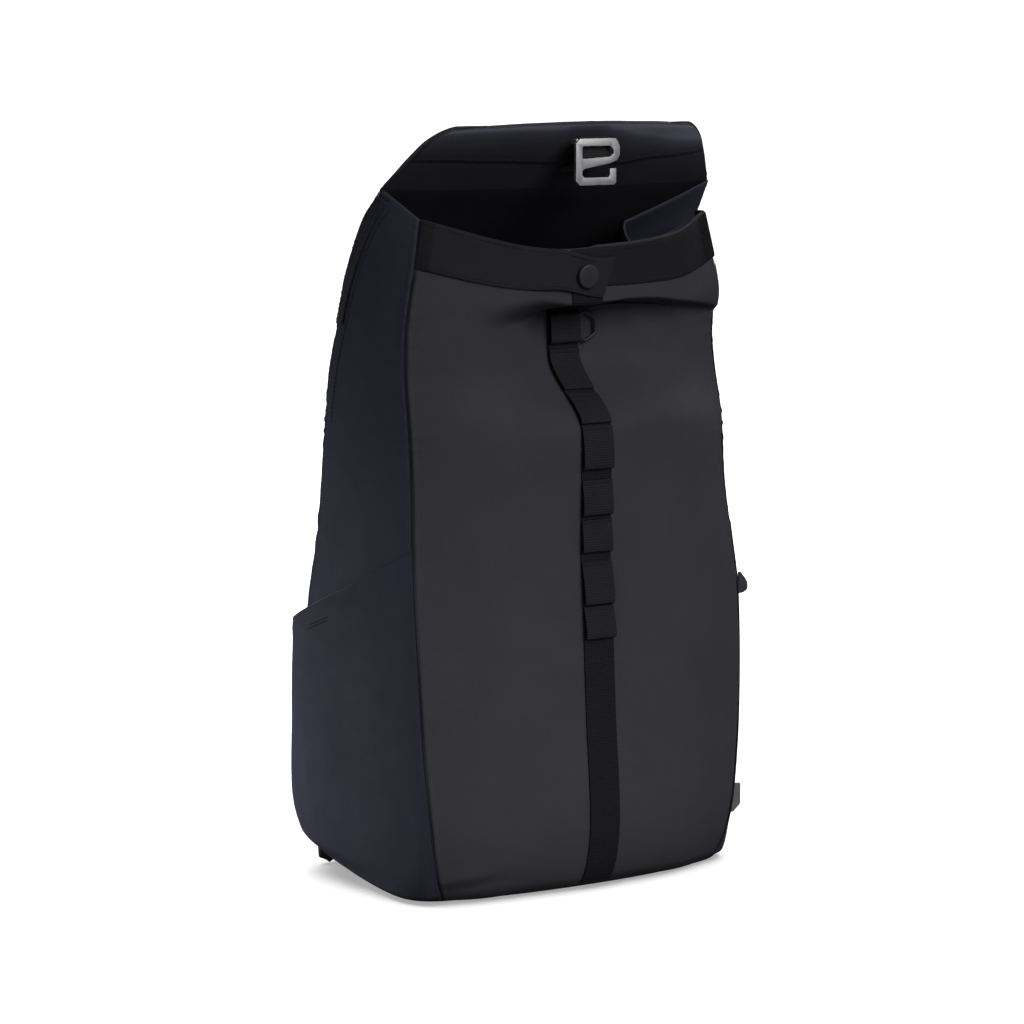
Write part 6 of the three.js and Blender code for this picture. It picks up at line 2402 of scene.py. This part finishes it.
    def handle(self) -> None:
        """Haul handle at the top of the back."""
        z = self.handle_z
        rise = float(self.form.back_face(0.0, z + 6) - self.form.back_face(0.0, z - 6))
        slope = unit(np.array([0, rise, 12.0]))
        off = np.array([0, slope[2], -slope[1]])
        inner = self.handle_half - self.handle_foot
        angle = np.linspace(0, math.pi, 50)
        x = np.concatenate([
            np.linspace(-self.handle_half, -inner, 8, endpoint=False), -inner * np.cos(angle),
            np.linspace(inner, self.handle_half, 9)[1:]])
        lift = self.handle_rise * np.sqrt(np.maximum(1 - np.minimum(np.abs(x) / inner, 1) ** 2, 0))
        path = points_of(x, self.form.back_face(x, z) + 2 * LAY_GAP, z)
        path = path + off * (lift + self.handle_thick / 2)[:, None]
        self.grower.strap("handle", "haul_handle", path, self.palette.webbing, self.handle_width,
                          self.handle_thick, 9, slope)
        rows = []
        for sign in (-1, 1):
            for at in (inner + 3, self.handle_half - 2):
                run = np.linspace(-self.handle_width / 2 + 2, self.handle_width / 2 - 2, 20)
                foot = np.array([sign * at, float(self.form.back_face(at, z)) + 2 * LAY_GAP, z])
                rows.append(foot + off * (self.handle_thick + 0.1) + run[:, None] * slope)
        self.grower.sew("handle_stitches", rows, self.palette.thread, *self.handle_stitch)


def aimed(name: str, data: Any, spot: Sequence[float], aim: Sequence[float]) -> Piece:
    """Lamp or camera at a spot, turned to what it aims at.

    Args:
        name: Name of the object.
        data: The lamp or camera.
        spot: Where it stands.
        aim: What it aims at.

    Returns:
        The object.
    """
    obj = linked(name, data)
    obj.location = spot
    obj.rotation_euler = (Vector(aim) - Vector(spot)).to_track_quat("-Z", "Y").to_euler()
    return obj


@dataclass(frozen=True)
class Lamp:
    """Soft square light."""

    name: str
    spot: Triple
    aim: Triple
    size: float
    power: float
    on_floor: bool = False

    def build(self, receivers: bpy.types.Collection) -> None:
        """Adds the light to the scene.

        Args:
            receivers: Collection that says what the light falls on.
        """
        data = bpy.data.lights.new(self.name, "AREA")
        data.size, data.energy = self.size, self.power
        obj = aimed(self.name, data, self.spot, self.aim)
        obj.visible_camera = False
        obj.light_linking.receiver_collection = receivers


@dataclass
class Studio:
    """White floor, soft light and the camera. Distances are in metres."""

    palette: Palette
    sky: Pair = (0.065, 0.27)
    skyline: Pair = (-0.05, 0.05)
    lens: float = 129.06
    eye: Triple = (-1.4386, -2.2001, 0.6282)
    look: Triple = (-0.004, 0.009, 0.258)
    floor_half: float = 900.0
    floor_z: float = -0.3
    lamps: tuple[Lamp, ...] = (
        Lamp("front_box", (0.35, -2.3, 1.75), (0, 0, 0.25), 1.3, 58.0),
        Lamp("left_low_box", (-0.45, 0.2, 0.02), (-0.14, 0.02, 0.04), 0.3, 2.2),
        Lamp("rear_box", (0.6, 2.2, 1.5), (0, 0, 0.25), 1.4, 62.0),
        Lamp("right_box", (2.1, 0.95, 1.2), (0, 0, 0.25), 1.2, 30.0),
        Lamp("front_low_box", (-0.06, -0.42, 0.02), (0, 0, 0.02), 0.4, 0.6),
        Lamp("floor_box", (0, 0, 2.6), (0, 0, 0), 4.0, 165.0, True),
    )

    def light(self) -> bpy.types.World:
        """Soft light from all round, bright above and dim below.

        Returns:
            The world.
        """
        world = bpy.data.worlds.new("studio")
        world.use_nodes = True
        tree = world.node_tree
        where = add_node(tree, "ShaderNodeTexCoord", {}).outputs["Generated"]
        height = add_node(tree, "ShaderNodeSeparateXYZ", {0: where}).outputs["Z"]
        back = tree.nodes["Background"]
        back.inputs["Color"].default_value = (1, 1, 1, 1)
        tree.links.new(span(tree, height, self.skyline, self.sky), back.inputs["Strength"])
        return world

    def build(self) -> None:
        """Sets the stage."""
        scene = bpy.context.scene
        scene.view_settings.view_transform = "Standard"
        scene.world = self.light()
        half = self.floor_half / MM
        corners = [(-half, -half), (half, -half), (half, half), (-half, half)]
        floor = mesh_object("floor", np.array([[x, y, self.floor_z] for x, y in corners]), [[0, 1, 2, 3]])
        paint(floor.data, self.palette.floor)
        floor.visible_diffuse = floor.visible_glossy = False
        receivers = {}
        for on_floor, state in ((True, "INCLUDE"), (False, "EXCLUDE")):
            receivers[on_floor] = bpy.data.collections.new(f"floor_{state.lower()}")
            receivers[on_floor].objects.link(floor)
            for member in receivers[on_floor].collection_objects:
                member.light_linking.link_state = state
        for lamp in self.lamps:
            lamp.build(receivers[lamp.on_floor])
        data = bpy.data.cameras.new("camera")
        data.lens = self.lens
        scene.camera = aimed("camera", data, self.eye, self.look)


def main() -> None:
    """Builds the bag in order, logging the faces of each piece and the cut size of each panel."""
    logging.basicConfig(level=logging.INFO, format="%(name)s %(message)s")
    palette, grower, form = Palette(), Grower(), BagForm()
    Studio(palette).build()
    for maker in (BodyPanels, Flap, Mouth, FrontStrap, Pockets, Harness):
        LOG.info("building %s", maker.__name__)
        maker(form, palette, grower).build()


if __name__ == "__main__":
    main()
